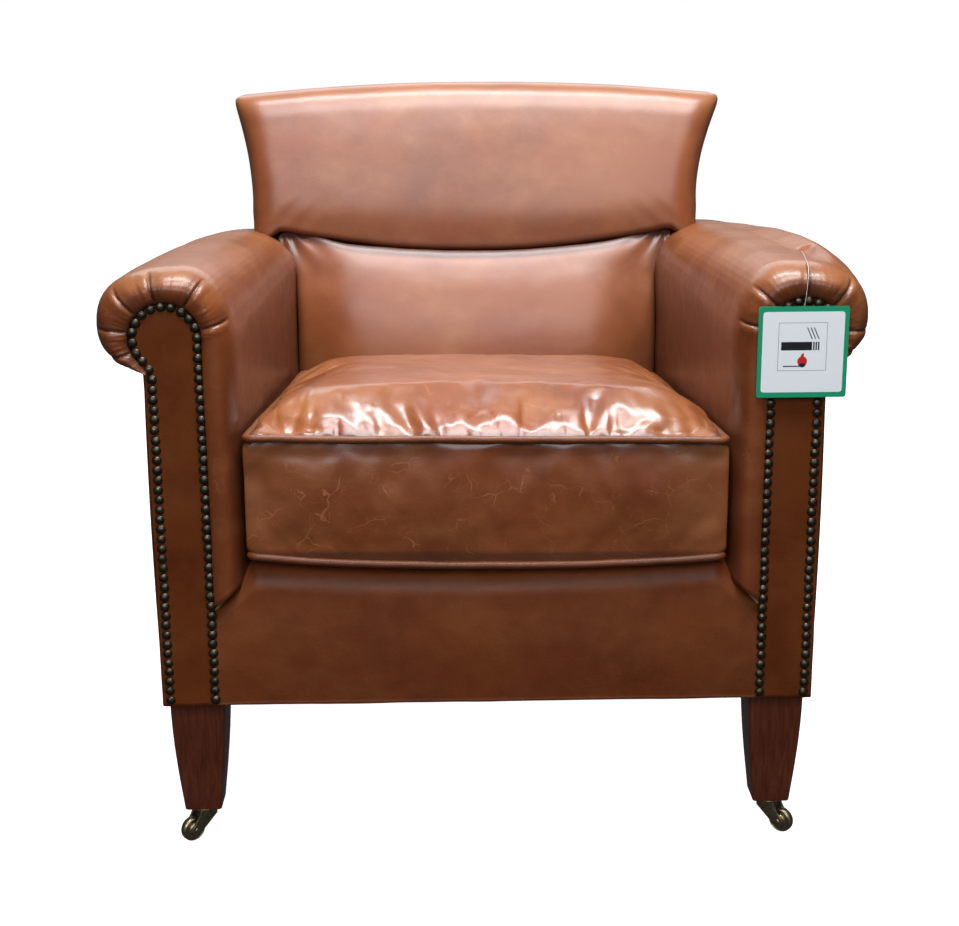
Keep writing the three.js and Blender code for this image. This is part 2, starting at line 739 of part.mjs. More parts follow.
// A pin through the cheeks, with a low head on each side.
function castorAxle() {
  const { trail, wheel, cheek, axle } = castor;
  const side = cheekInside + cheek + gap;
  const head = [[axle, side], [3.4, side], [2.8, side + 1], [0, side + 1.4]];
  const otherHead = head.map(([r, along]) => [r, -along]).reverse();
  return turned([...otherHead, ...head], 12, [trail, wheel]);
}

// ---- Swing tag ----

// The thread comes over the right arm's roll, down its front and through the hole in the tag.
const threadRoute = [
  [350, -200, 635.2],
  [342, -250, 638.6],
  [333, -300, 641.9],
  [326.5, -335, 643.8],
  [324.4, -350, 643.9],
  [323, -360, 642.6],
  [321.9, -368, 639.2],
  [320.8, -373.8, 632.8],
  [319.8, -376.6, 624],
  [318.8, -377.4, 614],
  [317.6, -377.9, 604.8],
];
const threadRadius = 0.5;
const tag = { wide: 91, tall: 93, thick: 0.9, corner: 3 };

function buildTag() {
  const extrudePath = new THREE.CatmullRomCurve3(threadRoute.map((p) => new THREE.Vector3(...p)));
  const section = new THREE.Shape().absarc(0, 0, threadRadius, 0, 2 * Math.PI);
  const options = { steps: 30, curveSegments: 3, bevelEnabled: false, extrudePath };
  add("tag_thread", solid(new THREE.ExtrudeGeometry(section, options)), nylon);
  const outline = plan(tag.wide / 2, tag.wide / 2, -tag.tall / 2, tag.tall / 2, tag.corner);
  const swingTag = add("swing_tag", alongY(outline, -tag.thick / 2, tag.thick / 2, 3), card);
  const [x, y, z] = threadRoute.at(-1);
  swingTag.position.set(x, y, z - 2 * gap - tag.tall / 2);
}

buildFrame();
buildSuspension();
buildSeat();
buildBack();
buildArms();
buildCushion();
buildLegs();
buildTag();

export default chair;
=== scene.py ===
import json
import math
import random

import bmesh
import bpy
from mathutils import Matrix, Vector, geometry, noise


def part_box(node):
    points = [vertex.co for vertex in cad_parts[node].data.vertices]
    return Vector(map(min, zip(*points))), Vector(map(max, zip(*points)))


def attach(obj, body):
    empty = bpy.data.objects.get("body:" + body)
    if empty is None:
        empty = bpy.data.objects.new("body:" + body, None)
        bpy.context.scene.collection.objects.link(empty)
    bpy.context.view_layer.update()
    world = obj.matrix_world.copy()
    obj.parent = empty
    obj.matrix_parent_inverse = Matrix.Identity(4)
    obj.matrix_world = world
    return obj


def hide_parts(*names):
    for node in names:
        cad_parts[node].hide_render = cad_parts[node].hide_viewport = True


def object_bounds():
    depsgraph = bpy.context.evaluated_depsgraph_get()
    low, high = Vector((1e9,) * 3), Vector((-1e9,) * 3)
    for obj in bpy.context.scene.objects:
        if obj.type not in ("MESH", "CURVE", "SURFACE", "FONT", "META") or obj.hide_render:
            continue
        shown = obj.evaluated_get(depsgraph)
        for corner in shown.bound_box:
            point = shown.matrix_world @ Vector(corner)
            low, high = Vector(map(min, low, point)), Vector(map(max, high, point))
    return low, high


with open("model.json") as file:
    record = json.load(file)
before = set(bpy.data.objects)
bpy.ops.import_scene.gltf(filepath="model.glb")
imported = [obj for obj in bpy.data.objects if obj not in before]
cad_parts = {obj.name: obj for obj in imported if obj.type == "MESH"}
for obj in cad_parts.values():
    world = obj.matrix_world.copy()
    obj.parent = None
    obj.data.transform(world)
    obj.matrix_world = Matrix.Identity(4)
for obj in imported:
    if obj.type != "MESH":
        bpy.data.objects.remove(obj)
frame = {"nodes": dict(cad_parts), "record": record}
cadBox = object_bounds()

# The finish of a worn leather club chair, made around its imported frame. Metres, sitter faces -Y.

mm = 0.001
sides = {"left": -1, "right": 1}  # each side's way out from the middle, along X


# ---- small tools ----

def clearSelection():
    bpy.ops.object.select_all(action="DESELECT")


def makeActive(piece):
    clearSelection()
    piece.select_set(True)
    bpy.context.view_layer.objects.active = piece


def pick(piece, kind, wanted):
    # in edit mode, selects the vertices, edges or faces that wanted() says yes to
    bpy.ops.mesh.select_mode(type=kind)
    bpy.ops.mesh.select_all(action="DESELECT")
    mesh = bmesh.from_edit_mesh(piece.data)
    parts = {"VERT": mesh.verts, "EDGE": mesh.edges, "FACE": mesh.faces}[kind]
    for part in parts:
        if wanted(part):
            part.select_set(True)
    bmesh.update_edit_mesh(piece.data)


def cutAlong(piece, axis, cuts):
    # splits every edge that runs along one axis, as evenly spaced loop cuts would
    makeActive(piece)
    bpy.ops.object.mode_set(mode="EDIT")

    def runsAlong(edge):
        run = edge.verts[0].co - edge.verts[1].co
        return abs(run[axis]) > 0.99 * run.length

    pick(piece, "EDGE", runsAlong)
    bpy.ops.mesh.subdivide(number_cuts=cuts)
    bpy.ops.object.mode_set(mode="OBJECT")


def boxPiece(name, low, high, cuts=(0, 0, 0)):
    clearSelection()
    low, high = Vector(low), Vector(high)
    bpy.ops.mesh.primitive_cube_add(size=1, location=(low + high) / 2)
    piece = bpy.context.object
    piece.name = name
    piece.scale = high - low
    bpy.ops.object.transform_apply(location=True, rotation=False, scale=True)
    for axis, count in enumerate(cuts):
        if count:
            cutAlong(piece, axis, count)
    return piece


def softBox(name, low, high, cuts, radius):
    # a box cut into small quads, its edges rounded by a radius along each axis
    piece = boxPiece(name, low, high, cuts)
    low, high, radius = Vector(low), Vector(high), Vector(radius)

    def rounded(co):
        inner = Vector([min(max(co[i], low[i] + radius[i]), high[i] - radius[i]) for i in range(3)])
        out = Vector([(co[i] - inner[i]) / radius[i] for i in range(3)])
        if out.length == 0:
            return co
        out.normalize()
        return inner + Vector([out[i] * radius[i] for i in range(3)])

    shape(piece, rounded)
    return piece


def gridPiece(name, columns, rows, place):
    # a flat grid, bent so that its point (u, v), each from 0 to 1, lands on place(u, v)
    clearSelection()
    bpy.ops.mesh.primitive_grid_add(x_subdivisions=columns, y_subdivisions=rows, size=1)
    piece = bpy.context.object
    piece.name = name
    shape(piece, lambda co: place(co.x + 0.5, co.y + 0.5))
    return piece


def shape(piece, move):
    for vertex in piece.data.vertices:
        vertex.co = move(vertex.co.copy())
    piece.data.update()


def displace(piece, amount):
    # moves each vertex out along its normal by amount(place, normal)
    moved = [v.co + v.normal * amount(v.co, v.normal) for v in piece.data.vertices]
    for vertex, place in zip(piece.data.vertices, moved):
        vertex.co = place
    piece.data.update()


def applyModifier(piece, kind, **settings):
    makeActive(piece)
    modifier = piece.modifiers.new(kind.title(), kind)
    for key, value in settings.items():
        setattr(modifier, key, value)
    bpy.ops.object.modifier_apply(modifier=modifier.name)


def editAll(piece, *operators):
    makeActive(piece)
    bpy.ops.object.mode_set(mode="EDIT")
    bpy.ops.mesh.select_mode(type="VERT")
    bpy.ops.mesh.select_all(action="SELECT")
    for operator, settings in operators:
        operator(**settings)
    bpy.ops.object.mode_set(mode="OBJECT")


def faceOutward(piece, *before):
    editAll(piece, *before, (bpy.ops.mesh.normals_make_consistent, {"inside": False}))


def smoothStep(low, high, value):
    t = min(max((value - low) / (high - low), 0), 1)
    return t * t * (3 - 2 * t)


def sign(value):
    return -1 if value < 0 else 1


def mix(a, b, t):
    return a + (b - a) * t


def rollOff(distance, radius):
    # how far a face falls back near its edge, as it turns over it on a radius
    t = min(max(1 - distance / radius, 0), 0.98)
    return radius * (1 - math.sqrt(1 - t * t))


def waves(place, size, seed=0):
    # soft noise from -1 to 1 whose lumps are about size wide
    return noise.noise(Vector(place) / size + Vector((seed * 7.3, seed * 3.1, seed * 5.7)))


def paintPoints(piece, name, value):
    # writes value(place, normal) for each vertex, for the materials to read
    attribute = piece.data.attributes.get(name) or piece.data.attributes.new(name, "FLOAT", "POINT")
    for i, vertex in enumerate(piece.data.vertices):
        attribute.data[i].value = min(max(value(vertex.co, vertex.normal), 0), 1)


def paint(piece, shade, wear):
    paintPoints(piece, "shade", shade)
    paintPoints(piece, "wear", wear)


def dress(piece, material, body="chair", replaces=(), smooth=True):
    piece.data.materials.clear()
    piece.data.materials.append(material)
    if smooth:
        makeActive(piece)
        bpy.ops.object.shade_smooth()
    if replaces:
        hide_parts(*replaces)
    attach(piece, body)
    return piece


def cover(piece, leather, *nodes):
    dress(piece, leathers[leather], replaces=nodes)


def pathPoints(corners, spacing):
    # points a fixed distance apart along a line through the corners
    lengths = [0]
    for a, b in zip(corners, corners[1:]):
        lengths.append(lengths[-1] + (b - a).length)
    count = max(int(round(lengths[-1] / spacing)), 1)
    points, i = [], 0
    for k in range(count + 1):
        goal = lengths[-1] * k / count
        while i < len(corners) - 2 and lengths[i + 1] < goal:
            i += 1
        t = (goal - lengths[i]) / max(lengths[i + 1] - lengths[i], 1e-9)
        points.append(corners[i].lerp(corners[i + 1], t))
    return points


def curveOn(points, steps=16):
    a, b, c, d = (Vector(p).to_3d() for p in points)
    return [p.to_2d() for p in geometry.interpolate_bezier(a, b, c, d, steps)]


# ---- materials ----

class Nodes:
    # a short way to build a material: add() makes a node, link() joins two sockets

    def __init__(self, name):
        self.material = bpy.data.materials.new(name)
        self.material.use_nodes = True
        self.tree = self.material.node_tree
        self.shader = self.tree.nodes["Principled BSDF"]

    def add(self, kind, inputs=None, **settings):
        made = self.tree.nodes.new("ShaderNode" + kind)
        for key, value in settings.items():
            setattr(made, key, value)
        for key, value in (inputs or {}).items():
            if isinstance(value, bpy.types.NodeSocket):
                self.tree.links.new(value, made.inputs[key])
            else:
                made.inputs[key].default_value = value
        return made

    def link(self, output, socket):
        self.tree.links.new(output, self.shader.inputs[socket])

    def place(self, scale=(1, 1, 1)):
        source = self.add("TexCoord")
        return self.add("Mapping", {"Vector": source.outputs["Object"], "Scale": scale}).outputs["Vector"]

    def noise(self, size, detail=4, rough=0.55, place=None, distortion=0):
        inputs = {"Scale": 1 / size, "Detail": detail, "Roughness": rough, "Distortion": distortion}
        inputs["Vector"] = place or self.place()
        return self.add("TexNoise", inputs).outputs["Fac"]

    def cellEdges(self, place, size):
        made = self.add("TexVoronoi", {"Vector": place, "Scale": 1 / size}, feature="DISTANCE_TO_EDGE")
        return made.outputs["Distance"]

    def ramp(self, value, start, end, interpolation="LINEAR"):
        # from one grey to another; start and end each say where and how bright
        made = self.add("ValToRGB", {"Fac": value})
        made.color_ramp.interpolation = interpolation
        for element, (position, grey) in zip(made.color_ramp.elements, (start, end)):
            element.position = position
            element.color = (grey, grey, grey, 1)
        return made.outputs["Color"]

    def math(self, operation, a, b=0.0, clamp=False):
        made = self.add("Math", {0: a, 1: b}, operation=operation)
        made.use_clamp = clamp
        return made.outputs[0]

    def times(self, a, b):
        return self.math("MULTIPLY", a, b)

    def plus(self, a, b, clamp=False):
        return self.math("ADD", a, b, clamp)

    def blend(self, amount, a, b):
        return self.add("Mix", {0: amount, 6: a, 7: b}, data_type="RGBA").outputs[2]

    def attribute(self, name):
        return self.add("Attribute", attribute_name=name).outputs["Fac"]

    def bump(self, height, depth, strength=1.0, before=None):
        inputs = {"Height": height, "Distance": depth, "Strength": strength}
        if before:
            inputs["Normal"] = before
        return self.add("Bump", inputs).outputs["Normal"]

    def setValues(self, **values):
        for key, value in values.items():
            self.shader.inputs[key.replace("_", " ")].default_value = value
        return self.material


leatherLook = {
    "deep": (0.110, 0.021, 0.0042),
    "middle": (0.215, 0.050, 0.0110),
    "rubbed": (0.370, 0.155, 0.055),
    "cloudSize": 0.11,
    "grainSize": 1.5 * mm,
    "creaseSize": 16 * mm,
    "dentSize": 45 * mm,
    "smearSize": 24 * mm,  # how wide the duller and glossier smears are
    "scratchSize": 1 / 26,  # how wide the cells are whose edges become scratches
    "hairSize": 1 / 61,  # the same for the finer scratches
    "brokenSize": 30 * mm,  # how long the scratches run before they stop
}


def makeLeather(name, tone, worn, scratches, creases, coat, gloss, shine):
    look = leatherLook
    n = Nodes(name)
    cloud = n.noise(look["cloudSize"], 5, 0.6, distortion=0.6)
    patch = n.noise(look["cloudSize"] / 4.5, 4, 0.55)
    deep, middle, rubbed = ((*[c * tone for c in look[key]], 1) for key in ("deep", "middle", "rubbed"))
    cloudy = n.plus(n.times(cloud, 0.72), n.times(patch, 0.28))
    base = n.blend(n.ramp(cloudy, (0.30, 0.35), (0.62, 1), "EASE"), deep, middle)

    # rubbed patches, where the wax has pulled lighter
    rub = n.noise(look["cloudSize"] * 0.6, 5, 0.6, n.place((1, 1, 1.7)), 0.25)
    rubMask = n.ramp(rub, (0.44, 0), (0.80, 1), "EASE")
    painted = n.plus(n.times(rubMask, worn), n.attribute("wear"), clamp=True)
    colour = n.blend(n.times(painted, 0.62), base, rubbed)

    # scratches: thin broken lines between bent cells
    bend = n.add("TexNoise", {"Scale": 22.0, "Detail": 3.0, "Vector": n.place()}).outputs["Color"]
    bent = n.add("MixRGB", {"Fac": 0.035, "Color1": n.place(), "Color2": bend}).outputs["Color"]
    cells, hairs = n.cellEdges(bent, look["scratchSize"]), n.cellEdges(bent, look["hairSize"])
    line = n.math("MAXIMUM", n.ramp(cells, (0.0, 1), (0.011, 0)),
                  n.times(n.ramp(hairs, (0.0, 1), (0.016, 0)), 0.6))
    broken = n.ramp(n.noise(look["brokenSize"], 3, 0.6), (0.52, 0), (0.66, 1))
    scratch = n.times(n.times(line, broken), scratches)
    colour = n.blend(scratch, colour, (*[min(c * 1.5 * tone, 1) for c in look["rubbed"]], 1))

    # painted shade, read from the shade attribute: the leather darkens in creases, along seams and where
    # parts meet or overhang
    dark = n.attribute("shade")
    colour = n.blend(n.times(dark, 0.85), colour, (*[c * 0.28 * tone for c in look["deep"]], 1))
    n.link(colour, "Base Color")

    grain = n.add("TexVoronoi", {"Scale": 1 / look["grainSize"], "Vector": n.place()}).outputs["Distance"]
    fine = n.noise(look["grainSize"] * 2.4, 3, 0.6)
    folds = n.noise(look["creaseSize"], 4, 0.6, distortion=1.4)
    ridged = n.math("ABSOLUTE", n.math("SUBTRACT", folds, 0.5))
    wrinkle = n.ramp(ridged, (0.0, 0), (0.09, 1), "EASE")
    normal = n.bump(wrinkle, 0.9 * mm, creases)
    normal = n.bump(n.noise(look["dentSize"], 3, 0.5), 1.8 * mm, 0.4, normal)
    normal = n.bump(n.plus(grain, fine), 0.12 * mm, 0.55, normal)
    n.link(n.bump(scratch, -0.12 * mm, 0.6, normal), "Normal")

    smears = n.noise(look["smearSize"], 4, 0.6)
    rough = n.ramp(smears, (0.3, gloss + 0.14), (0.7, gloss + 0.26))
    rough = n.plus(rough, n.times(dark, 0.2), clamp=True)
    n.link(n.plus(rough, n.times(scratch, 0.12), clamp=True), "Roughness")
    return n.setValues(Coat_Weight=coat, Coat_Roughness=gloss, Coat_IOR=1.5, IOR=shine)


def makeWood(name, dark, light, grain=(1, 1, 0.07), roughness=0.32, coat=0.4):
    n = Nodes(name)
    place = n.place(grain)
    rings = n.noise(5 * mm, 6, 0.62, place, 0.8)
    pores = n.noise(0.9 * mm, 2, 0.5, place)
    colour = n.blend(n.ramp(rings, (0.34, 0), (0.68, 1)), (*dark, 1), (*light, 1))
    colour = n.blend(n.times(n.ramp(pores, (0.35, 1), (0.48, 0)), 0.5), colour, (*dark, 1))
    rubbed = n.times(n.attribute("wear"), n.noise(9 * mm, 4, 0.6))
    colour = n.blend(rubbed, colour, (*[min(c * 2.4, 1) for c in light], 1))
    n.link(colour, "Base Color")
    n.link(n.bump(pores, 0.15 * mm, 0.4), "Normal")
    n.link(n.ramp(rings, (0.2, roughness - 0.07), (0.8, roughness + 0.1)), "Roughness")
    return n.setValues(Coat_Weight=coat, Coat_Roughness=0.18)


def makeBrass(name, clean, tarnish, amount=0.5, roughness=0.33):
    n = Nodes(name)
    patina = n.noise(3.2 * mm, 5, 0.65)
    worn = n.ramp(patina, (amount - 0.14, 0), (amount + 0.14, 1))
    n.link(n.blend(worn, (*tarnish, 1), (*clean, 1)), "Base Color")
    n.link(n.ramp(patina, (0.3, roughness + 0.16), (0.7, roughness - 0.08)), "Roughness")
    n.link(n.bump(n.noise(0.8 * mm, 3, 0.6), 0.08 * mm, 0.5), "Normal")
    return n.setValues(Metallic=1.0)


def makePlain(name, dark, light, size, roughness=0.8, metallic=0.0, depth=0.2 * mm, weave=False):
    n = Nodes(name)
    pattern = n.noise(size, 4, 0.6)
    n.link(n.blend(n.ramp(pattern, (0.3, 0), (0.7, 1)), (*dark, 1), (*light, 1)), "Base Color")
    height = pattern
    if weave:
        threads = {"Scale": 0.16 / size, "Distortion": 0.4, "Vector": n.place()}
        warp, weft = (n.add("TexWave", threads, bands_direction=way) for way in "XZ")
        height = n.math("MAXIMUM", warp.outputs["Fac"], weft.outputs["Fac"])
    n.link(n.bump(height, depth, 0.6), "Normal")
    n.link(n.ramp(pattern, (0.2, roughness - 0.08), (0.8, min(roughness + 0.08, 1))), "Roughness")
    return n.setValues(Metallic=metallic)


ink, red = (0.012, 0.012, 0.016), (0.62, 0.022, 0.020)
tagLook = {
    "green": (0.008, 0.330, 0.155),
    "card": (0.95, 0.96, 0.98),
    "line": (0.36, 0.37, 0.40),
    "edge": 4.4 * mm,
    "fieldCorner": 5 * mm,
    "squareShift": (0.5 * mm, 5.5 * mm),  # how far the square stands left of the middle, and below it
    "squareHalf": 24.6 * mm,
    "squareLine": 0.6 * mm,
    "fibreSize": 1.2 * mm,
}

# plain marks inside the square: middle across and up from the card's middle, half width, half height,
# slant, all in mm, then whether the mark is round, and its colour
tagMarks = [
    (-6.5, 6.2, 15.6, 4.3, 0, False, ink),
    *[(x, 6.2, 0.75, 4.3, 0, False, ink) for x in (10.9, 13.3, 15.7)],
    *[(x, 19.2, 0.55, 5.8, -0.45, False, ink) for x in (6.4, 9.8, 13.2)],
    (-0.2, -9.6, 4.9, 5.4, 0, True, red),
    (-0.4, -4.2, 1.5, 3.2, 0.3, True, red),
    (-10.5, -14.4, 9.0, 0.6, 0, False, ink),
    (0.0, -13.4, 3.1, 2.2, 0, True, ink),
]


def makeCard(name, low, high):
    # a green edge, a pale field, one thin square outline and a few marks, laid out by place on the card
    n = Nodes(name)
    split = n.add("SeparateXYZ", {"Vector": n.place()})
    middle = (Vector(low) + Vector(high)) / 2
    half = (high[0] - low[0]) / 2
    left, down = tagLook["squareShift"]

    def offsets(x, z):
        return n.math("SUBTRACT", split.outputs["X"], x), n.math("SUBTRACT", split.outputs["Z"], z)

    def distances(x, z):
        return [n.math("ABSOLUTE", offset) for offset in offsets(x, z)]

    across, up = distances(middle.x, middle.z)
    field = n.add("Math", {0: across, 1: up, 2: tagLook["fieldCorner"]}, operation="SMOOTH_MAX")
    edge = n.math("GREATER_THAN", field.outputs[0], half - tagLook["edge"])
    inner = n.math("MAXIMUM", *distances(middle.x - left, middle.z + down))
    outline = n.times(n.math("LESS_THAN", inner, tagLook["squareHalf"]),
                     n.math("GREATER_THAN", inner, tagLook["squareHalf"] - tagLook["squareLine"]))
    fibre = n.noise(tagLook["fibreSize"], 3, 0.6)
    card = n.blend(fibre, (*[c * 0.95 for c in tagLook["card"]], 1), (*tagLook["card"], 1))
    colour = n.blend(edge, card, (*tagLook["green"], 1))
    colour = n.blend(outline, colour, (*tagLook["line"], 1))
    for x, z, wide, tall, slant, isRound, shade in tagMarks:
        across, up = offsets(middle.x + x * mm, middle.z + z * mm)
        across = n.math("SUBTRACT", across, n.times(up, slant))
        across = n.math("ABSOLUTE", n.math("DIVIDE", across, wide * mm))
        up = n.math("ABSOLUTE", n.math("DIVIDE", up, tall * mm))
        if isRound:
            reach = n.plus(n.times(across, across), n.times(up, up))
        else:
            reach = n.math("MAXIMUM", across, up)
        colour = n.blend(n.math("LESS_THAN", reach, 1.0), colour, (*shade, 1))
    n.link(colour, "Base Color")
    n.link(n.bump(fibre, 0.03 * mm, 0.3), "Normal")
    n.link(n.ramp(fibre, (0.2, 0.30), (0.8, 0.42)), "Roughness")
    return n.setValues(Coat_Weight=0.2, Coat_Roughness=0.15)


# each leather: its tone, how worn, scratched and creased it is, its coat of wax, its gloss and shine
leathers = {
    "tanLeather": (0.95, 0.5, 0.2, 0.1, 0.45, 0.24, 1.38),
    "backLeather": (1.1, 0.4, 0.1, 0.05, 0.85, 0.33, 1.47),
    "seatLeather": (1.12, 0.42, 0.5, 0.07, 1.0, 0.24, 1.38),
    "panelLeather": (0.85, 0.2, 0.06, 0.08, 0.15, 0.34, 1.3),
    "facingLeather": (0.66, 0.1, 0.05, 0.08, 0.05, 0.38, 1.15),
    "pipingLeather": (0.78, 0.2, 0.1, 0.3, 0.25, 0.3, 1.35),
}
for name, values in leathers.items():
    leathers[name] = makeLeather(name, *values)
mahogany = makeWood("mahogany", (0.095, 0.019, 0.007), (0.190, 0.042, 0.017), coat=0.2)
beech = makeWood("beech", (0.36, 0.22, 0.11), (0.58, 0.40, 0.22), (1, 0.1, 1), 0.6, 0.0)
nailBrass = makeBrass("nailBrass", (0.17, 0.145, 0.10), (0.045, 0.040, 0.029), 0.54, 0.38)
castorBrass = makeBrass("castorBrass", (0.52, 0.43, 0.27), (0.19, 0.155, 0.095), 0.5, 0.36)
foam = makePlain("stuffing", (0.60, 0.52, 0.30), (0.80, 0.72, 0.46), 3 * mm, 0.9)
jute = makePlain("jute", (0.25, 0.16, 0.07), (0.50, 0.36, 0.18), 1.5 * mm, 0.92, weave=True)
springSteel = makePlain("springSteel", (0.16, 0.16, 0.17), (0.36, 0.36, 0.37), 2 * mm, 0.38, 1.0)
dustCloth = makePlain("dustCloth", (0.008, 0.008, 0.009), (0.022, 0.022, 0.024), 0.9 * mm, 0.95,
                      weave=True)
clearThread = makePlain("clearThread", (0.50, 0.50, 0.48), (0.66, 0.66, 0.64), 2 * mm, 0.3)

plainNodes = {
    "beech": beech,
    "stuffing": foam,
    "jute": jute,
    "spring_steel": springSteel,
    "dust_cloth": dustCloth,
    "mahogany": mahogany,
    "aged_brass": castorBrass,
    "tan_leather": leathers["panelLeather"],
}
for part in frame["record"]["subparts"]:
    finish = plainNodes.get(part["material_slot"])
    if finish:
        cadPiece = frame["nodes"][part["node"]]
        cadPiece.data.materials.clear()
        cadPiece.data.materials.append(finish)
print("materials made")


# ---- camera ----

view = {
    "across": -0.0375,
    "distance": 1.622,  # ahead of the chair's front
    "height": 0.882,
    "pitch": 15.03,  # degrees down
    "roll": 0.39,
    "yaw": -1.05,
    "lens": 61.94,
}


def addCamera():
    clearSelection()
    place = (view["across"], cadBox[0][1] - view["distance"], view["height"])
    bpy.ops.object.camera_add(location=place)
    camera = bpy.context.object
    turn = Matrix.Rotation(math.radians(view["yaw"]), 4, "Z")
    tilt = Matrix.Rotation(math.radians(90 - view["pitch"]), 4, "X")
    roll = Matrix.Rotation(math.radians(-view["roll"]), 4, "Z")
    camera.matrix_world = Matrix.Translation(place) @ turn @ tilt @ roll
    camera.data.lens = view["lens"]
    camera.data.sensor_width = 36
    bpy.context.scene.camera = camera


addCamera()


# ---- the swing tag and its thread ----

threadRoute = [
    (0.350, -0.200, 0.6352),
    (0.342, -0.250, 0.6386),
    (0.333, -0.300, 0.6419),
    (0.3265, -0.335, 0.6438),
    (0.3244, -0.350, 0.6439),
    (0.323, -0.360, 0.6426),
    (0.3219, -0.368, 0.6392),
    (0.3208, -0.3738, 0.6328),
    (0.3198, -0.3766, 0.624),
    (0.3188, -0.3774, 0.614),
    (0.3176, -0.3779, 0.6048),
]


def smoothRoute(points, steps):
    # a smooth line through the points, with a few steps between each two
    ends = [points[0] * 2 - points[1], *points, points[-1] * 2 - points[-2]]
    line = []
    for a, b, c, d in zip(ends, ends[1:], ends[2:], ends[3:]):
        for k in range(steps):
            t = k / steps
            line.append(0.5 * (2 * b + (c - a) * t + (2 * a - 5 * b + 4 * c - d) * t * t
                               + (3 * b - a - 3 * c + d) * t ** 3))
    return [*line, points[-1]]


def makeThread():
    clearSelection()
    bpy.ops.curve.primitive_nurbs_path_add(location=(0, 0, 0))
    thread = bpy.context.object
    thread.name = "tagThread"
    line = thread.data
    line.splines.clear()
    spline = line.splines.new("POLY")
    points = smoothRoute([Vector(p) for p in threadRoute], 3)
    spline.points.add(len(points) - 1)
    for point, place in zip(spline.points, points):
        point.co = (*place, 1)
    line.dimensions = "3D"
    line.bevel_depth = 0.3 * mm
    line.bevel_resolution = 2
    line.use_fill_caps = True
    line.materials.append(clearThread)
    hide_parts("tag_thread")
    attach(thread, "chair")


def nearThread(co):
    # 1 on the thread's line, falling to 0 a little way off it
    nearest = 1.0
    for a, b in zip(threadRoute, threadRoute[1:]):
        offset, run = Vector(co) - Vector(a), Vector(b) - Vector(a)
        t = min(max(offset.dot(run) / run.length_squared, 0), 1)
        nearest = min(nearest, (offset - run * t).length)
    return 1 - smoothStep(3.5 * mm, 11 * mm, nearest)


swingTag = frame["nodes"]["swing_tag"]
swingTag.data.materials.clear()
swingTag.data.materials.append(makeCard("tagCard", *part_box("swing_tag")))
makeThread()
print("tag made")


# ---- arms ----

armLow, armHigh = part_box("arm_cover_right")
facingLow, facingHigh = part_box("arm_facing_right")
archRadius = (facingHigh.x - facingLow.x) / 2
archCentre = Vector((facingLow.x + archRadius, facingHigh.z - archRadius))

arm = {
    "innerFront": 0.2525,  # inside face at the front, from the middle of the chair
    "drawIn": 0.023,  # how much the arms close in for each metre back
    "ridge": 0.308,
    "side": 0.3447,  # where the roll meets the outside panel
    "under": 0.541,
    "turnIn": 0.552,  # height where the inside face starts to turn over
    "widest": 0.588,  # height where the roll stands furthest out
    "pull": {  # the handles that round its outline, each a height or a way out
        "inner": 0.610,
        "ridgeIn": 0.022,
        "ridgeOut": 0.350,
        "outer": 0.636,
        "outerFoot": 0.562,
        "under": 0.374,
    },
    "length": 0.67,  # from the front of the roll to its rear end
    "archSweep": math.pi + 0.7,  # how far round the arch its edge and its nails run
    "seamLow": 0.291,  # foot of the diagonal seam, at the facing
    "seamHigh": 0.315,  # its head, at the inside of the arm
    "roundDepth": 46 * mm,
    "crest": 0.42,  # share of the way from the nails to the side where the roll stands proudest
    "fall": 0.035,  # how much the top falls for each metre back
    "puff": 1.1 * mm,
    "inwardShade": 0.48,  # how much painted shade darkens the faces on either side of the cushion
    "spread": {"left": 4 * mm, "right": 0},  # how much fuller one roll is than the other
    "drop": {"left": 20 * mm, "right": 12 * mm},  # how much the top sinks, more and more, to the rear
    "swell": {"left": 0, "right": 15 * mm},  # how much the roll fills out half way along
    "frontRows": 30,
    "bodyRows": 104,
    "endRows": 14,
    "wallColumns": 44,
    "rollColumns": 196,
}

# each pleat: its angle about the arch in degrees, 0 pointing out and 90 up, and how deep it is in mm
pleats = {
    "left": [(-22, 3.0), (11, 3.4), (42, 3.6), (79, 4.4), (123, 4.2), (166, 3.6)],
    "right": [(-24, 3.0), (3, 3.4), (46, 3.8), (90, 4.4), (137, 4.4), (172, 3.8)],
}


def armOutline():
    # the arm seen from the front: up the inside, over the ridge and round under the roll
    inner, out, top, under = arm["innerFront"], armHigh.x, armHigh.z, arm["under"]
    ridge, widest, pull = (arm["ridge"], top), (out, arm["widest"]), arm["pull"]
    rise = curveOn([(inner, arm["turnIn"]), (inner, pull["inner"]), (inner + pull["ridgeIn"], top), ridge])
    over = curveOn([ridge, (pull["ridgeOut"], top), (out, pull["outer"]), widest])
    back = curveOn([widest, (out, pull["outerFoot"]), (pull["under"], under), (arm["side"], under)])
    return [Vector((inner, arm["seamHigh"])), *rise, *over[1:], *back[1:]]


def turnOf(point):
    angle = math.atan2(point.y - archCentre.y, point.x - archCentre.x)
    return angle if angle > -math.pi / 2 else angle + 2 * math.pi


def onArch(turn, radius):
    return archCentre + Vector((math.cos(turn), math.sin(turn))) * radius


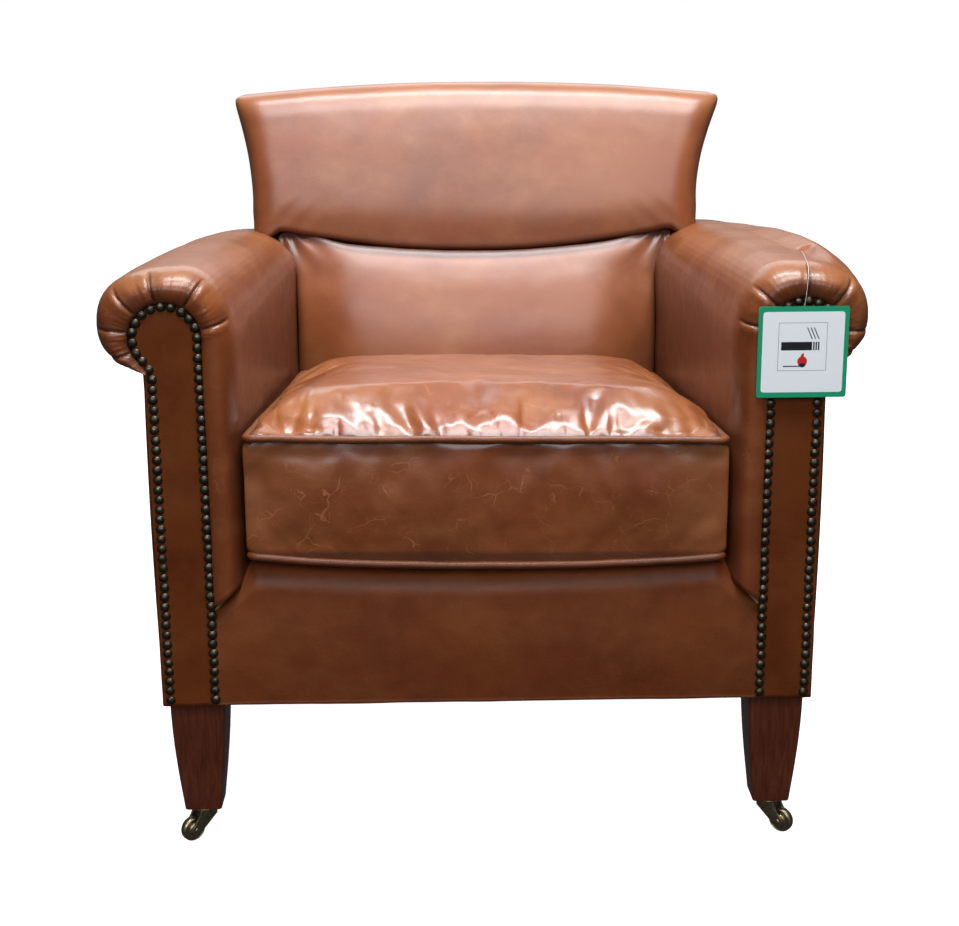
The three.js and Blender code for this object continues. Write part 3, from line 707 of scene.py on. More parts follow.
def armColumns():
    # pairs of points, one on the facing's edge and one on the outline
    outline = armOutline()
    wallTop = arm["innerFront"] + 1.0 * mm
    rolled = [p for p in outline if p.y > archCentre.y or p.x > archCentre.x]
    rolled.insert(0, Vector((wallTop, archCentre.y)))
    turns = [turnOf(p) for p in rolled]
    turns[0] = math.pi
    columns = []
    for i in range(arm["wallColumns"]):
        t = i / arm["wallColumns"]
        low = Vector((facingLow.x, mix(arm["seamLow"], archCentre.y, t)))
        high = Vector((0, mix(arm["seamHigh"], archCentre.y, t)))
        rise = max(high.y - arm["turnIn"], 0) / (archCentre.y - arm["turnIn"])
        high.x = mix(arm["innerFront"], wallTop, rise ** 2)
        columns.append((low, high))
    last = turns[-1]
    for i in range(arm["rollColumns"] + 1):
        turn = mix(math.pi, last, i / arm["rollColumns"])
        k = next((k for k in range(1, len(turns)) if turns[k] <= turn + 1e-9), len(turns) - 1)
        t = (turns[k - 1] - turn) / max(turns[k - 1] - turns[k], 1e-9)
        high = rolled[k - 1].lerp(rolled[k], min(max(t, 0), 1))
        under = smoothStep(-0.66, last, turn)
        low = onArch(turn, archRadius).lerp(Vector((facingHigh.x - 17.4 * mm, arm["under"])), under)
        columns.append((low, high))
    return columns


outsideLow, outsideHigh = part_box("outside_back")


def rearFaceAt(z):
    t = (z - outsideLow.z) / (outsideHigh.z - outsideLow.z)
    return mix(outsideLow.y + 2.4 * mm, outsideHigh.y, t)


def pleatHeight(side, turn, radius, run):
    # how far the leather stands in or out at one angle, run metres from the nails
    rise = 0.0
    length = smoothStep(0, 4 * mm, run) * (1 - smoothStep(24 * mm, 50 * mm, run))
    for k, (angle, depth) in enumerate(pleats[side]):
        bend = 0.05 * math.sin(3 * k + 1) * run / (30 * mm)
        gapTo = (turn - math.radians(angle) - bend) * radius
        lap = 1 if angle > 80 else -1
        crease = -depth * mm * math.exp(-abs(gapTo) / (1.1 * mm))
        fold = 0.24 * depth * mm * math.exp(-((gapTo * lap - 5.5 * mm) / (5.2 * mm)) ** 2)
        dip = -0.20 * depth * mm * math.exp(-((gapTo * lap + 5 * mm) / (5 * mm)) ** 2)
        rise += (crease + fold + dip) * length
    return rise


def makeArm(side):
    way = sides[side]
    seed = 3 if side == "left" else 8
    columns = armColumns()
    rows = arm["frontRows"] + arm["bodyRows"] + arm["endRows"]
    front, rollStart = armLow.y, armLow.y + arm["roundDepth"]
    facingPlane = facingLow.y + 1.5 * mm
    rearDrop = arm["fall"] * arm["length"] + arm["drop"][side]

    def rearAt(z):
        return rearFaceAt(z - rearDrop * smoothStep(arm["under"], armHigh.z, z)) - 6 * mm

    def frontPlace(low, high, t):
        # a quarter turn up from the nails, then a wider one out to the side
        split = 0.34
        if t < split:
            a = t / split * math.pi / 2
            share, y = arm["crest"] * (1 - math.cos(a)), mix(facingPlane, front, math.sin(a))
        else:
            a = (t - split) / (1 - split) * math.pi / 2
            share = mix(arm["crest"], 1, math.sin(a))
            y = front + arm["roundDepth"] * (1 - math.cos(a))
        return low.lerp(high, share), y

    def place(u, v):
        column = min(int(round(u * (len(columns) - 1))), len(columns) - 1)
        row = int(round(v * rows))
        low, high = columns[column]
        if row <= arm["frontRows"]:
            point, y = frontPlace(low, high, row / arm["frontRows"])
        elif row <= arm["frontRows"] + arm["bodyRows"]:
            t = (row - arm["frontRows"]) / arm["bodyRows"]
            point = high.copy()
            y = mix(rollStart, rearAt(point.y), t ** 1.25)
        else:
            t = (row - arm["frontRows"] - arm["bodyRows"]) / arm["endRows"]
            centre = Vector((archCentre.x, min(max(high.y, 0.33), archCentre.y)))
            a = min(t * 2.5, 1) * math.pi / 2
            pull = 6 * mm * (1 - math.cos(a)) / max((high - centre).length, 1 * mm)
            far = max(t - 0.4, 0) / 0.6
            point = high.lerp(centre, min(pull + far * (0.995 - pull), 0.995))
            y = rearAt(point.y) + 5 * mm * math.sin(a)
        back = max(y - rollStart, 0)
        inner = 1 - smoothStep(arm["innerFront"] + 4 * mm, arm["ridge"], point.x)
        x = point.x - back * arm["drawIn"] * inner
        x += arm["spread"][side] * smoothStep(arm["side"], armHigh.x, point.x)
        lift = smoothStep(arm["under"], armHigh.z, point.y)
        long = min(back / arm["length"], 1)
        fall = arm["fall"] * back + arm["drop"][side] * long ** 2
        outward = smoothStep(0.338, 0.366, point.x) * smoothStep(arm["under"], 0.60, point.y)
        swell = arm["swell"][side] * math.sin(math.pi * long ** 0.7) * outward
        clear = 1 - nearThread((x, y, point.y)) if way > 0 else 1
        return Vector((x + 0.5 * swell * clear, y, point.y - lift * fall + 0.9 * swell * clear))

    piece = gridPiece(f"armCover.{side}", len(columns) - 1, rows, place)
    if way < 0:
        shape(piece, lambda co: Vector((-co.x, co.y, co.z)))
        editAll(piece, (bpy.ops.mesh.flip_normals, {}))

    def aboutArch(co):
        # the angle about the arch, the way from the nails, whether this is the roll, and its pleats
        flat = Vector((abs(co.x), co.z))
        out = (flat - archCentre).length
        run = max(out - archRadius, 0) + max(co.y - front - 12 * mm, 0)
        turn, height = turnOf(flat), 0
        rolled = flat.y > archCentre.y - 30 * mm or flat.x > archCentre.x
        if rolled:
            height = pleatHeight(side, turn, max(out, archRadius), run)
        return turn, run, rolled, height

    def soften(co, normal):
        rise = arm["puff"] * waves(co, 0.085, seed) + 0.15 * mm * waves(co, 0.028, seed + 1)
        ahead = 1 - smoothStep(front, front + 90 * mm, co.y)
        turn, run, rolled, height = aboutArch(co)
        if rolled:
            gather = noise.noise(Vector((turn * 17, run * 60, seed)))
            rise += height + 0.55 * mm * gather * ahead * (1 - smoothStep(6 * mm, 34 * mm, run))
        if way > 0 and rise > 0 and co.z > 0.6 and co.y < -0.18:
            rise *= 1 - nearThread(co)
        return rise

    displace(piece, soften)

    def shadeAt(co, normal):
        # painted shade: darker by the nails, in the pleats' creases and on the faces turned in beside the
        # cushion
        _, run, _, height = aboutArch(co)
        ahead = 1 - smoothStep(front + 4 * mm, front + 12 * mm, co.y)
        dark = 0.55 * (1 - smoothStep(0, 7 * mm, run)) * ahead + max(-height / (2.6 * mm), 0)
        inward = smoothStep(0.5, 0.95, -normal.x * way) * (1 - smoothStep(0.50, 0.64, co.z))
        return dark + arm["inwardShade"] * inward

    def wearAt(co, normal):
        top = smoothStep(0.2, 0.95, normal.z)
        return 0.75 * top * (0.6 + 0.4 * waves(co, 0.09, seed + 5))

    paint(piece, shadeAt, wearAt)
    applyModifier(piece, "SOLIDIFY", thickness=1.8 * mm, offset=-1)
    cover(piece, "tanLeather", f"arm_cover_{side}", f"arm_pad_{side}")


for side in sides:
    makeArm(side)
print("arms made")


# ---- nails ----

nail = {
    "pitch": 10.5 * mm,
    "radius": 5.3 * mm,
    "height": 3.3 * mm,
    "start": 0.187,
    "inset": 3.5 * mm,
    "lean": 7,  # degrees either way
    "stray": (0.4 * mm, 0.35 * mm),  # how far a nail sits off its line, across and up
}


def tongueLine(radius, outer, foot, steps, pull, neck):
    # up an inner edge, round the arch and down an outer edge
    inner = archCentre.x - radius
    line = [Vector((inner, foot)), Vector((inner, archCentre.y))]
    for k in range(1, steps + 1):
        line.append(onArch(math.pi - k / steps * arm["archSweep"], radius))
    line += curveOn([line[-1], line[-1] - Vector(pull), *[(outer, height) for height in neck]])[1:]
    return [*line, Vector((outer, foot))]


def nailLine():
    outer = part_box("arm_post_right")[1].x - 6 * mm
    pull, neck = (5 * mm, 7 * mm), (0.546, 0.532)
    return tongueLine(archRadius - nail["inset"], outer, nail["start"], 24, pull, neck)


def nailHead():
    # half a ball, pressed flatter
    clearSelection()
    bpy.ops.mesh.primitive_uv_sphere_add(segments=14, ring_count=10, radius=nail["radius"])
    head = bpy.context.object
    bpy.ops.object.mode_set(mode="EDIT")
    bpy.ops.mesh.select_all(action="SELECT")
    bpy.ops.mesh.bisect(plane_co=(0, 0, 0), plane_no=(0, 0, 1), clear_inner=True, use_fill=True)
    bpy.ops.object.mode_set(mode="OBJECT")
    head.scale = (1, 1, nail["height"] / nail["radius"])
    bpy.ops.object.transform_apply(location=True, rotation=True, scale=True)
    return head


def makeNails(side):
    rng = random.Random(41 if side == "left" else 42)
    head = nailHead()
    copies = []
    lean, (across, up) = nail["lean"], nail["stray"]
    for point in pathPoints(nailLine(), nail["pitch"]):
        copy = head.copy()
        copy.data = head.data.copy()
        bpy.context.collection.objects.link(copy)
        nod = Matrix.Rotation(math.radians(90 + rng.uniform(-lean, lean)), 4, "X")
        swing = Matrix.Rotation(math.radians(rng.uniform(-lean, lean)), 4, "Z")
        spin = Matrix.Rotation(rng.uniform(0, 6.28), 4, "Z")
        size = rng.uniform(0.96, 1.02)
        place = Vector((sides[side] * (point.x + rng.uniform(-across, across)), facingLow.y - 0.2 * mm,
                        point.y + rng.uniform(-up, up)))
        copy.data.transform(Matrix.Translation(place) @ swing @ nod @ spin @ Matrix.Scale(size, 4))
        copies.append(copy)
    bpy.data.objects.remove(head)
    clearSelection()
    for copy in copies:
        copy.select_set(True)
    bpy.context.view_layer.objects.active = copies[0]
    bpy.ops.object.join()
    row = bpy.context.object
    row.name = f"nails.{side}"
    dress(row, nailBrass, replaces=[f"nail_trim_{side}"])


for side in sides:
    makeNails(side)
print("nails made")


# ---- facings and outside panels ----

def refinedCopy(node, name, bevel):
    # a CAD piece with its loose triangles merged and its edges softened
    source = frame["nodes"][node]
    piece = source.copy()
    piece.data = source.data.copy()
    piece.name = name
    piece.parent = None
    for key in list(piece.keys()):
        del piece[key]
    bpy.context.collection.objects.link(piece)
    editAll(piece, (bpy.ops.mesh.remove_doubles, {"threshold": 0.02 * mm}),
            (bpy.ops.mesh.dissolve_limited, {"angle_limit": math.radians(1)}))
    applyModifier(piece, "BEVEL", width=bevel, segments=2, limit_method="ANGLE",
                  angle_limit=math.radians(30), harden_normals=False)
    makeActive(piece)
    bpy.ops.object.shade_smooth_by_angle(angle=math.radians(35))
    return piece


def makeOutsideArm(side):
    # a taut panel, full in the middle and turned in at its edges
    way = sides[side]
    low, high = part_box(f"outside_arm_{side}")
    outer = way * max(abs(low.x), abs(high.x))
    piece = boxPiece(f"outsideArm.{side}", (-1, low.y, low.z), (1, high.y, high.z), (0, 70, 40))

    def panel(co):
        y = mix(low.y + 0.2 * mm, rearFaceAt(co.z), (co.y - low.y) / (high.y - low.y))
        z = co.z
        edge = min(y - low.y, rearFaceAt(z) - y, z - low.z, high.z - z)
        roll = smoothStep(0, 9 * mm, edge)
        bulge = 1.6 * mm * math.sin(math.pi * (z - low.z) / (high.z - low.z))
        bulge += 0.7 * mm * waves((0, y, z), 0.12, 2)
        inset = 2.2 * mm * (1 - roll) - bulge * roll if co.x * way > 0 else 2.4 * mm
        return Vector((outer - way * inset, y, z))

    def shadeAt(co, normal):
        return 0.6 * (1 - smoothStep(0, 8 * mm, min(co.z - low.z, high.z - co.z)))

    shape(piece, panel)
    paint(piece, shadeAt, lambda co, n: 0.25 * (0.5 + waves(co, 0.1, 4)))
    cover(piece, "panelLeather", f"outside_arm_{side}")


facing = {
    "row": 4.6 * mm,
    "flat": 0.8,  # share of the rows on the face, before its edge turns back
    "face": 0.93,  # share of the way out that the face reaches
    "full": 0.9 * mm,
    "turnBack": 4 * mm,
}


def makeFacing(side):
    # the tongue-shaped panel inside the nails, a little full, with its edge turned back
    way = sides[side]
    outer, pull, neck = armSheetOuter - 0.8 * mm, (3 * mm, 5 * mm), (0.545, 0.532)
    outline = pathPoints(tongueLine(archRadius, outer, facingLow.z, 32, pull, neck), 4.5 * mm)
    middle = (facingLow.x + armSheetOuter) / 2
    flat, face = facing["flat"], facing["face"]

    def place(u, v):
        edge = outline[int(round(u * (len(outline) - 1)))]
        height = min(round(edge.y / facing["row"]) * facing["row"], archCentre.y)
        spine = Vector((mix(middle, archCentre.x, smoothStep(0.50, archCentre.y, height)), height))
        out, turned = min(v / flat, 1), max(v - flat, 0) / (1 - flat)
        point = spine.lerp(edge, out * face + turned * (1 - face))
        depth = facing["turnBack"] * (1 - math.cos(turned * math.pi / 2)) - facing["full"] * (1 - out ** 2)
        return Vector((way * point.x, facingLow.y + depth, point.y))

    piece = gridPiece(f"armFacing.{side}", len(outline) - 1, 15, place)
    turnOut = [(bpy.ops.mesh.flip_normals, {})] if way < 0 else []
    editAll(piece, (bpy.ops.mesh.remove_doubles, {"threshold": 0.05 * mm}), *turnOut)
    displace(piece, lambda co, n: 0.35 * mm * waves(co, 0.05, 71) + 0.2 * mm * waves(co, 0.02, 72))
    paint(piece, lambda co, n: 0.55 * smoothStep(facingLow.y, facingLow.y + 3 * mm, co.y),
          lambda co, n: 0.03 + 0.2 * waves(co, 0.05, 73))
    applyModifier(piece, "SOLIDIFY", thickness=1.5 * mm, offset=-1)
    cover(piece, "facingLeather", f"arm_facing_{side}")


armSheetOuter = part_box("outside_arm_right")[1].x
for side in sides:
    makeOutsideArm(side)
    makeFacing(side)
print("panels made")


# ---- back ----

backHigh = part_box("upper_back_cover")[1]
back = {
    "waist": 0.300,  # half of it
    "flare": {-1: 0.033, 1: 0.046},  # at each side
    "waistHeight": 0.655,
    "arch": 15 * mm,
    "crease": 0.580,  # at the middle
    "smile": 29 * mm,  # how far the crease turns up at its ends
    "smileHalf": 0.262,
    "front": 0.200,
    "rear": 0.33,
    "lean": 0.062,
    "belly": 0.013,
    "tuck": 5 * mm,
    "corner": (10 * mm, 20 * mm, 13 * mm),
    "sideRoll": 40 * mm,
    "topRoll": 32 * mm,
    "footRoll": 9 * mm,
    "cuts": (110, 16, 54),
}


def backHalfAt(z, x=0):
    up = max(0, (z - back["waistHeight"]) / (backHigh.z - back["waistHeight"]))
    return back["waist"] + back["flare"][sign(x)] * min(up, 1) ** 1.7


def creaseAt(x):
    # a smile that turns down again out of sight behind the arms
    inside = min(abs(x), back["smileHalf"])
    beyond = max(abs(x) - back["smileHalf"], 0)
    return back["crease"] + back["smile"] * (inside / back["smileHalf"]) ** 2 - 0.9 * beyond


def makeUpperBack():
    half, front, rear = back["waist"], back["front"], back["rear"]
    low, high = Vector((-half, front, back["crease"])), Vector((half, rear, backHigh.z))
    piece = softBox("upperBack", low, high, back["cuts"], back["corner"])

    def faceAt(x, z, top, up):
        t = (z - back["crease"]) / (backHigh.z - back["crease"])
        face = front + back["lean"] * t - back["belly"] * math.sin(math.pi * min(max(t, 0), 1))
        face += back["tuck"] * (1 - smoothStep(0, 0.34, up)) ** 2
        face += 0.9 * rollOff(backHalfAt(z, x) - abs(x), back["sideRoll"])
        return face + 0.6 * rollOff(top - z, back["topRoll"]) + rollOff(z - creaseAt(x), back["footRoll"])

    def form(co):
        up = (co.z - low.z) / (high.z - low.z)
        depth = (co.y - front) / (rear - front)
        x = co.x / half * backHalfAt(mix(back["crease"], backHigh.z, up), co.x)
        top = backHigh.z - back["arch"] * (x / 0.32) ** 2
        z = mix(creaseAt(x), top, up)
        x = co.x / half * backHalfAt(z, co.x)
        return Vector((x, mix(faceAt(x, z, top, up), rearFaceAt(z) - 2.6 * mm, depth), z))

    shape(piece, form)
    faceOutward(piece)
    applyModifier(piece, "SUBSURF", levels=1, render_levels=1)

    def soften(co, normal):
        fronted = smoothStep(0.1, -0.5, normal.y)
        pull = smoothStep(0.12, 0.0, co.z - creaseAt(co.x)) * smoothStep(0.17, 0.26, abs(co.x))
        drag = math.sin((abs(co.x) * 0.9 + co.z) * 210) * 0.3 * mm * pull
        soft = 1.5 * mm * waves(co, 0.12, 11) + 0.35 * mm * waves(co, 0.035, 12)
        return soft * (0.4 + 0.6 * fronted) + drag

    def wearAt(co, normal):
        rims = 0.3 * smoothStep(0.755, 0.79, co.z)
        rims += 0.2 * smoothStep(0.9, 1.0, abs(co.x) / backHalfAt(co.z, co.x))
        return 0.2 + rims + 0.3 * waves(co, 0.12, 6)

    displace(piece, soften)
    paint(piece, lambda co, n: 0.8 * (1 - smoothStep(0, 20 * mm, co.z - creaseAt(co.x))), wearAt)
    cover(piece, "backLeather", "upper_back_cover", "upper_back_pad")


lumbar = {
    "wider": 4 * mm,
    "cuts": (70, 14, 50),
    "corner": (20 * mm, 16 * mm, 14 * mm),
    "tuckUp": 4.5 * mm,  # how far it reaches up behind the crease
    "spread": 0.11,  # how much wider it is at its head, as a share
    "headIn": 0.052,  # how far its head draws back under the crease
    "headDepth": 0.15,
    "sideIn": 0.030,
    "foldCentre": (0.238, 0.612),  # where the pulled folds are deepest, across and up
    "foldSource": (0.262, 0.625),  # the point that they fan out from
}


def makeLumbar():
    low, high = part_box("lumbar_cover")
    half = high.x + lumbar["wider"]
    top = back["crease"] + back["smile"]
    base, rear = low.z, high.y
    piece = softBox("lumbar", (-half, low.y, base), (half, rear, top), lumbar["cuts"], lumbar["corner"])

    def form(co):
        up = (co.z - base) / (top - base)
        depth = (co.y - low.y) / (rear - low.y)
        ceiling = creaseAt(co.x) + lumbar["tuckUp"] - 6 * mm * smoothStep(0.15, 0.6, depth)
        ceiling += 4 * mm * smoothStep(0.62, 0.9, abs(co.x) / half)
        z = mix(base, ceiling, up)
        x = co.x * (1 + lumbar["spread"] * smoothStep(0.545, 0.612, z))
        face = low.y + 2 * mm + lumbar["headIn"] * max(1 - (ceiling - z) / lumbar["headDepth"], 0) ** 2
        face += lumbar["sideIn"] * smoothStep(0.5, 1.0, abs(co.x) / half) ** 2
        return Vector((x, mix(face, rear, depth), z))

    shape(piece, form)
    faceOutward(piece)
    applyModifier(piece, "SUBSURF", levels=1, render_levels=1)

    def soften(co, normal):
        flat = Vector((abs(co.x), co.z))
        corner = smoothStep(0.075, 0.0, (flat - Vector(lumbar["foldCentre"])).length)
        fan = flat - Vector(lumbar["foldSource"])
        folds = 1.5 * mm * corner * math.sin(math.atan2(fan.y, fan.x) * 15 + sign(co.x))
        return 1.4 * mm * waves(co, 0.10, 21) + 0.4 * mm * waves(co, 0.03, 22) + folds

    displace(piece, soften)

    def shadeAt(co, normal):
        return 0.9 * smoothStep(9 * mm, 0, creaseAt(co.x) - co.z) + 0.5 * smoothStep(0.226, 0.24, abs(co.x))

    paint(piece, shadeAt, lambda co, n: 0.25 * waves(co, 0.09, 9) + 0.2)
    cover(piece, "backLeather", "lumbar_cover", "lumbar_pad")


def makeOutsideBack():
    # one taut panel up the rear, wide below the arms and flared above them
    low, high = outsideLow, outsideHigh
    wide, under = high.x, arm["under"] - 1 * mm
    piece = boxPiece("outsideBack", (-1, 0, low.z), (1, 1, high.z), (90, 0, 100))

    def halfAt(z):
        return wide if z < under else backHalfAt(z) - 4 * mm

    def form(co):
        top = backHigh.z - 2 * mm - back["arch"] * (co.x * 1.02) ** 2
        top -= 8 * mm * smoothStep(0.93, 1, abs(co.x)) ** 2
        z = mix(low.z, top, (co.z - low.z) / (high.z - low.z))
        x = co.x * halfAt(z)
        edge = min(halfAt(z) - abs(x), z - low.z, top - z)
        roll = smoothStep(0, 10 * mm, edge)
        bulge = 2.0 * mm * (1 - (x / wide) ** 2) + 0.8 * mm * waves((x, 0, z), 0.13, 5)
        outer = rearFaceAt(z) + bulge * roll - 1.9 * mm * (1 - roll)
        return Vector((x, outer if co.y > 0.5 else rearFaceAt(z) - 2.3 * mm, z))

    shape(piece, form)
    paint(piece, lambda co, n: 0.5 * (1 - smoothStep(0, 8 * mm, co.z - low.z)),
          lambda co, n: 0.3 * (0.5 + waves(co, 0.12, 14)))
    cover(piece, "panelLeather", "outside_back")


makeUpperBack()
makeLumbar()
makeOutsideBack()
print("back made")


# ---- seat front ----

cushionSag = 9 * mm  # how much lower the middle of the cushion's front hangs
seatFront = {
    "nose": 30 * mm,
    "noseDepth": 1.1,  # how much deeper the nose is than it is high
    "seamHead": 0.241,  # where the diagonal seam starts, from the middle
    "steps": (0.06, 0.62, 0.9),  # shares of the rows up to the turned foot, the nose and the seat
    "inset": 1.5 * mm,
    "belly": 2.5 * mm,
}


def sagAcross(x):
    # 1 at the middle of the seat's front, falling to 0 at the arms
    return 1 - min(abs(x) / 0.24, 1) ** 2


def makeSeatFront():
    # the front border: a flat apron that rolls over a padded nose under the cushion
    low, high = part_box("seat_front_border")
    half = facingLow.x + 2.5 * mm
    nose, seamHead = seatFront["nose"], seatFront["seamHead"]
    foot, rolled, seated = seatFront["steps"]
    face, noseDepth = low.y + seatFront["inset"], nose * seatFront["noseDepth"]

    def topAt(x):
        out = min(max((abs(x) - seamHead) / (facingLow.x - seamHead), 0), 1)
        return mix(high.z - cushionSag * sagAcross(x), arm["seamLow"], out ** 1.15)

    def place(u, v):
        x = mix(-half, half, u)
        top = topAt(x)
        if v < foot:
            t = v / foot
            y, z = low.y + 6 * mm * (1 - t), low.z + 0.4 * mm - 0.8 * mm * math.sin(math.pi * t)
        elif v < rolled:
            t = (v - foot) / (rolled - foot)
            y, z = face - seatFront["belly"] * math.sin(math.pi * t), mix(low.z, top - nose, t)
        elif v < seated:
            a = (v - rolled) / (seated - rolled) * math.pi / 2
            swell = 1 + 0.06 * math.sin(a * 2)
            y, z = face + noseDepth * (1 - math.cos(a)), top - nose + nose * math.sin(a) * swell
        else:
            y, z = mix(face + noseDepth, high.y, (v - seated) / (1 - seated)), top
        return Vector((x, y, z))

    piece = gridPiece("seatFront", 170, 84, place)
    displace(piece, lambda co, n: 0.8 * mm * waves(co, 0.09, 31) + 0.3 * mm * waves(co, 0.03, 32))

    def shadeAt(co, normal):
        foot = 1 - smoothStep(0, 5 * mm, co.z - low.z)
        return 0.5 * foot + 0.5 * smoothStep(low.y + 22 * mm, low.y + 40 * mm, co.y)

    paint(piece, shadeAt, lambda co, n: 0.03 + 0.2 * waves(co, 0.08, 33))
    applyModifier(piece, "SOLIDIFY", thickness=1.8 * mm, offset=-1)
    cover(piece, "panelLeather", "seat_front_border", "seat_front_pad")


makeSeatFront()
print("seat front made")


# ---- seat cushion ----

cushionLow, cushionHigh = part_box("cushion_cover")
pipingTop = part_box("cushion_piping_top")[1].z - 4.25 * mm
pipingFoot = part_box("cushion_piping_bottom")[1].z - 4.25 * mm
cushion = {
    "boxHalf": 0.24,
    "cuts": (60, 60, 20),
    "boxCorner": (8 * mm, 8 * mm, 6 * mm),
    "frontHalf": 0.2470,
    "rearHalf": 0.230,
    "sink": 38 * mm,  # how far the top is sat down at the back
    "lean": 0.0135,  # how much higher the left side sits, for each metre across
    "corner": 9 * mm,
    "cord": 4.1 * mm,
    "remesh": 6 * mm,
    "cap": 14 * mm,  # the furthest that the air pushes the leather
    "crown": 33 * mm,
    "frontRise": 0.085,  # how far in from the front the crown reaches its height
    "sideRise": 0.125,
    "rearRise": 0.18,
    "fuller": 0.03,  # how much the border stands out past the seams
    "taut": 0.6,  # how much less the border swells than the top
    "dark": 0.75,  # how dark the painted shade along the seams is
    # how far in from the rim the painted shade along the seams reaches
    "seamShadeReach": 16 * mm,
    "frames": 20,
}
cushionCloth = {
    "use_pressure": True,
    "uniform_pressure_force": 4.0,
    "shrink_min": -0.045,  # extra leather, as a share of its length
    "vertex_group_mass": "seams",
    "quality": 6,
    "tension_stiffness": 30,
    "compression_stiffness": 30,
    "bending_stiffness": 0.6,
}


def cushionHalfAt(y):
    t = (y - cushionLow.y) / (cushionHigh.y - cushionLow.y)
    return mix(cushion["frontHalf"], cushion["rearHalf"], t)


def sinkAt(y):
    # share of its height that the cushion loses at one depth
    return cushion["sink"] * (y - cushionLow.y) / (cushionHigh.y - cushionLow.y) / (pipingTop - cushionLow.z)


def settled(co):
    up = co.z - cushionLow.z
    return Vector((co.x, co.y, co.z - up * sinkAt(co.y) - cushion["lean"] * co.x))


def unsettled(co):
    up = (co.z + cushion["lean"] * co.x - cushionLow.z) / (1 - sinkAt(co.y))
    return Vector((co.x, co.y, cushionLow.z + up))


def rimAt(co):
    # how far in from the nearest side, front or rear
    return min(cushionHalfAt(co.y) - abs(co.x), co.y - cushionLow.y, cushionHigh.y - co.y)


def footSag(co):
    # the front of the border hangs a little lower in the middle
    ahead = 1 - smoothStep(cushionLow.y + 15 * mm, cushionLow.y + 90 * mm, co.y)
    return cushionSag * sagAcross(co.x) * ahead * (1 - smoothStep(pipingFoot, pipingFoot + 70 * mm, co.z))


def makeCushion():
    front, rear, half = cushionLow.y + 3 * mm, cushionHigh.y - 3 * mm, cushion["boxHalf"]
    piece = softBox("seatCushion", (-half, front, cushionLow.z + 1 * mm), (half, rear, pipingTop + 2 * mm),
                    cushion["cuts"], cushion["boxCorner"])

    def form(co):
        x = co.x * cushionHalfAt(co.y) / half
        along = (co.y - front) / (rear - front)
        across = abs(co.x) / half
        crown = cushion["crown"]
        crown *= math.sin(math.pi / 2 * min(max(along * 0.5 / cushion["frontRise"], 0), 1))
        for inset in ((1 - across) * half / cushion["sideRise"], (1 - along) * 0.5 / cushion["rearRise"]):
            crown *= math.sqrt(1 - (1 - min(max(inset, 0), 1)) ** 2)
        top = smoothStep(pipingTop - 14 * mm, pipingTop, co.z)
        return settled(Vector((x, co.y, co.z + crown * top - footSag(co))))

    shape(piece, form)
    inflate(piece)
    applyModifier(piece, "SUBSURF", levels=1, render_levels=1)

    def soften(co, normal):
        # cross folds behind the front seam, and small tucks below it
        top = smoothStep(0.25, 0.8, normal.z)
        fore = 1 - smoothStep(cushionLow.y + 10 * mm, cushionLow.y + 105 * mm, co.y)
        ripple = noise.noise(Vector((co.x / 0.030, co.y / 0.10, 4.4)))
        ripple += 0.6 * noise.noise(Vector((co.x / 0.014 + co.y / 0.05, co.y / 0.035, 9.1)))
        crease = math.exp(-abs(noise.noise(Vector((co.x / 0.034, co.y / 0.16, 6.3)))) / 0.07)
        border = smoothStep(0.3, -0.6, normal.y)
        gather = smoothStep(48 * mm, 0, pipingTop - unsettled(co).z) * border
        tuck = noise.noise(Vector((co.x / 0.016, co.z / 0.05, 2.2)))
        fold = (3.0 * ripple - 2.2 * crease) * top * fore + 0.9 * tuck * gather
        return mm * (fold + (0.5 + 0.7 * top) * waves(co, 0.06, 41) + 0.4 * waves(co, 0.022, 42))

    def rested(co):
        # the sides lie against the arms
        room = arm["innerFront"] - arm["drawIn"] * (co.y - armLow.y) - 2.6 * mm
        z = unsettled(co).z
        border = smoothStep(pipingFoot - 2 * mm, pipingFoot + 12 * mm, z)
        border *= smoothStep(2 * mm, 14 * mm, pipingTop - z)
        x = co.x * (1 + cushion["fuller"] * border)
        return Vector((min(max(x, -room), room), co.y, co.z))

    displace(piece, soften)
    shape(piece, rested)

    def shadeAt(co, normal):
        # painted shade along both seams, close to the cushion's rim
        z = unsettled(co).z
        near = min(abs(z - pipingTop), abs(z - pipingFoot))
        outside = cushion["seamShadeReach"] - rimAt(co)
        return cushion["dark"] * smoothStep(8.5 * mm, 3.5 * mm, near) * smoothStep(0, 8 * mm, outside)

    def wearAt(co, normal):
        top = 0.5 * smoothStep(0.3, 0.9, normal.z) * (0.5 + waves(co, 0.07, 17))
        return top + 0.18 * waves(co, 0.05, 18) + 0.22 * smoothStep(0.13, 0.24, abs(co.x))

    paint(piece, shadeAt, wearAt)
    cover(piece, "seatLeather", "cushion_cover", "cushion_core")


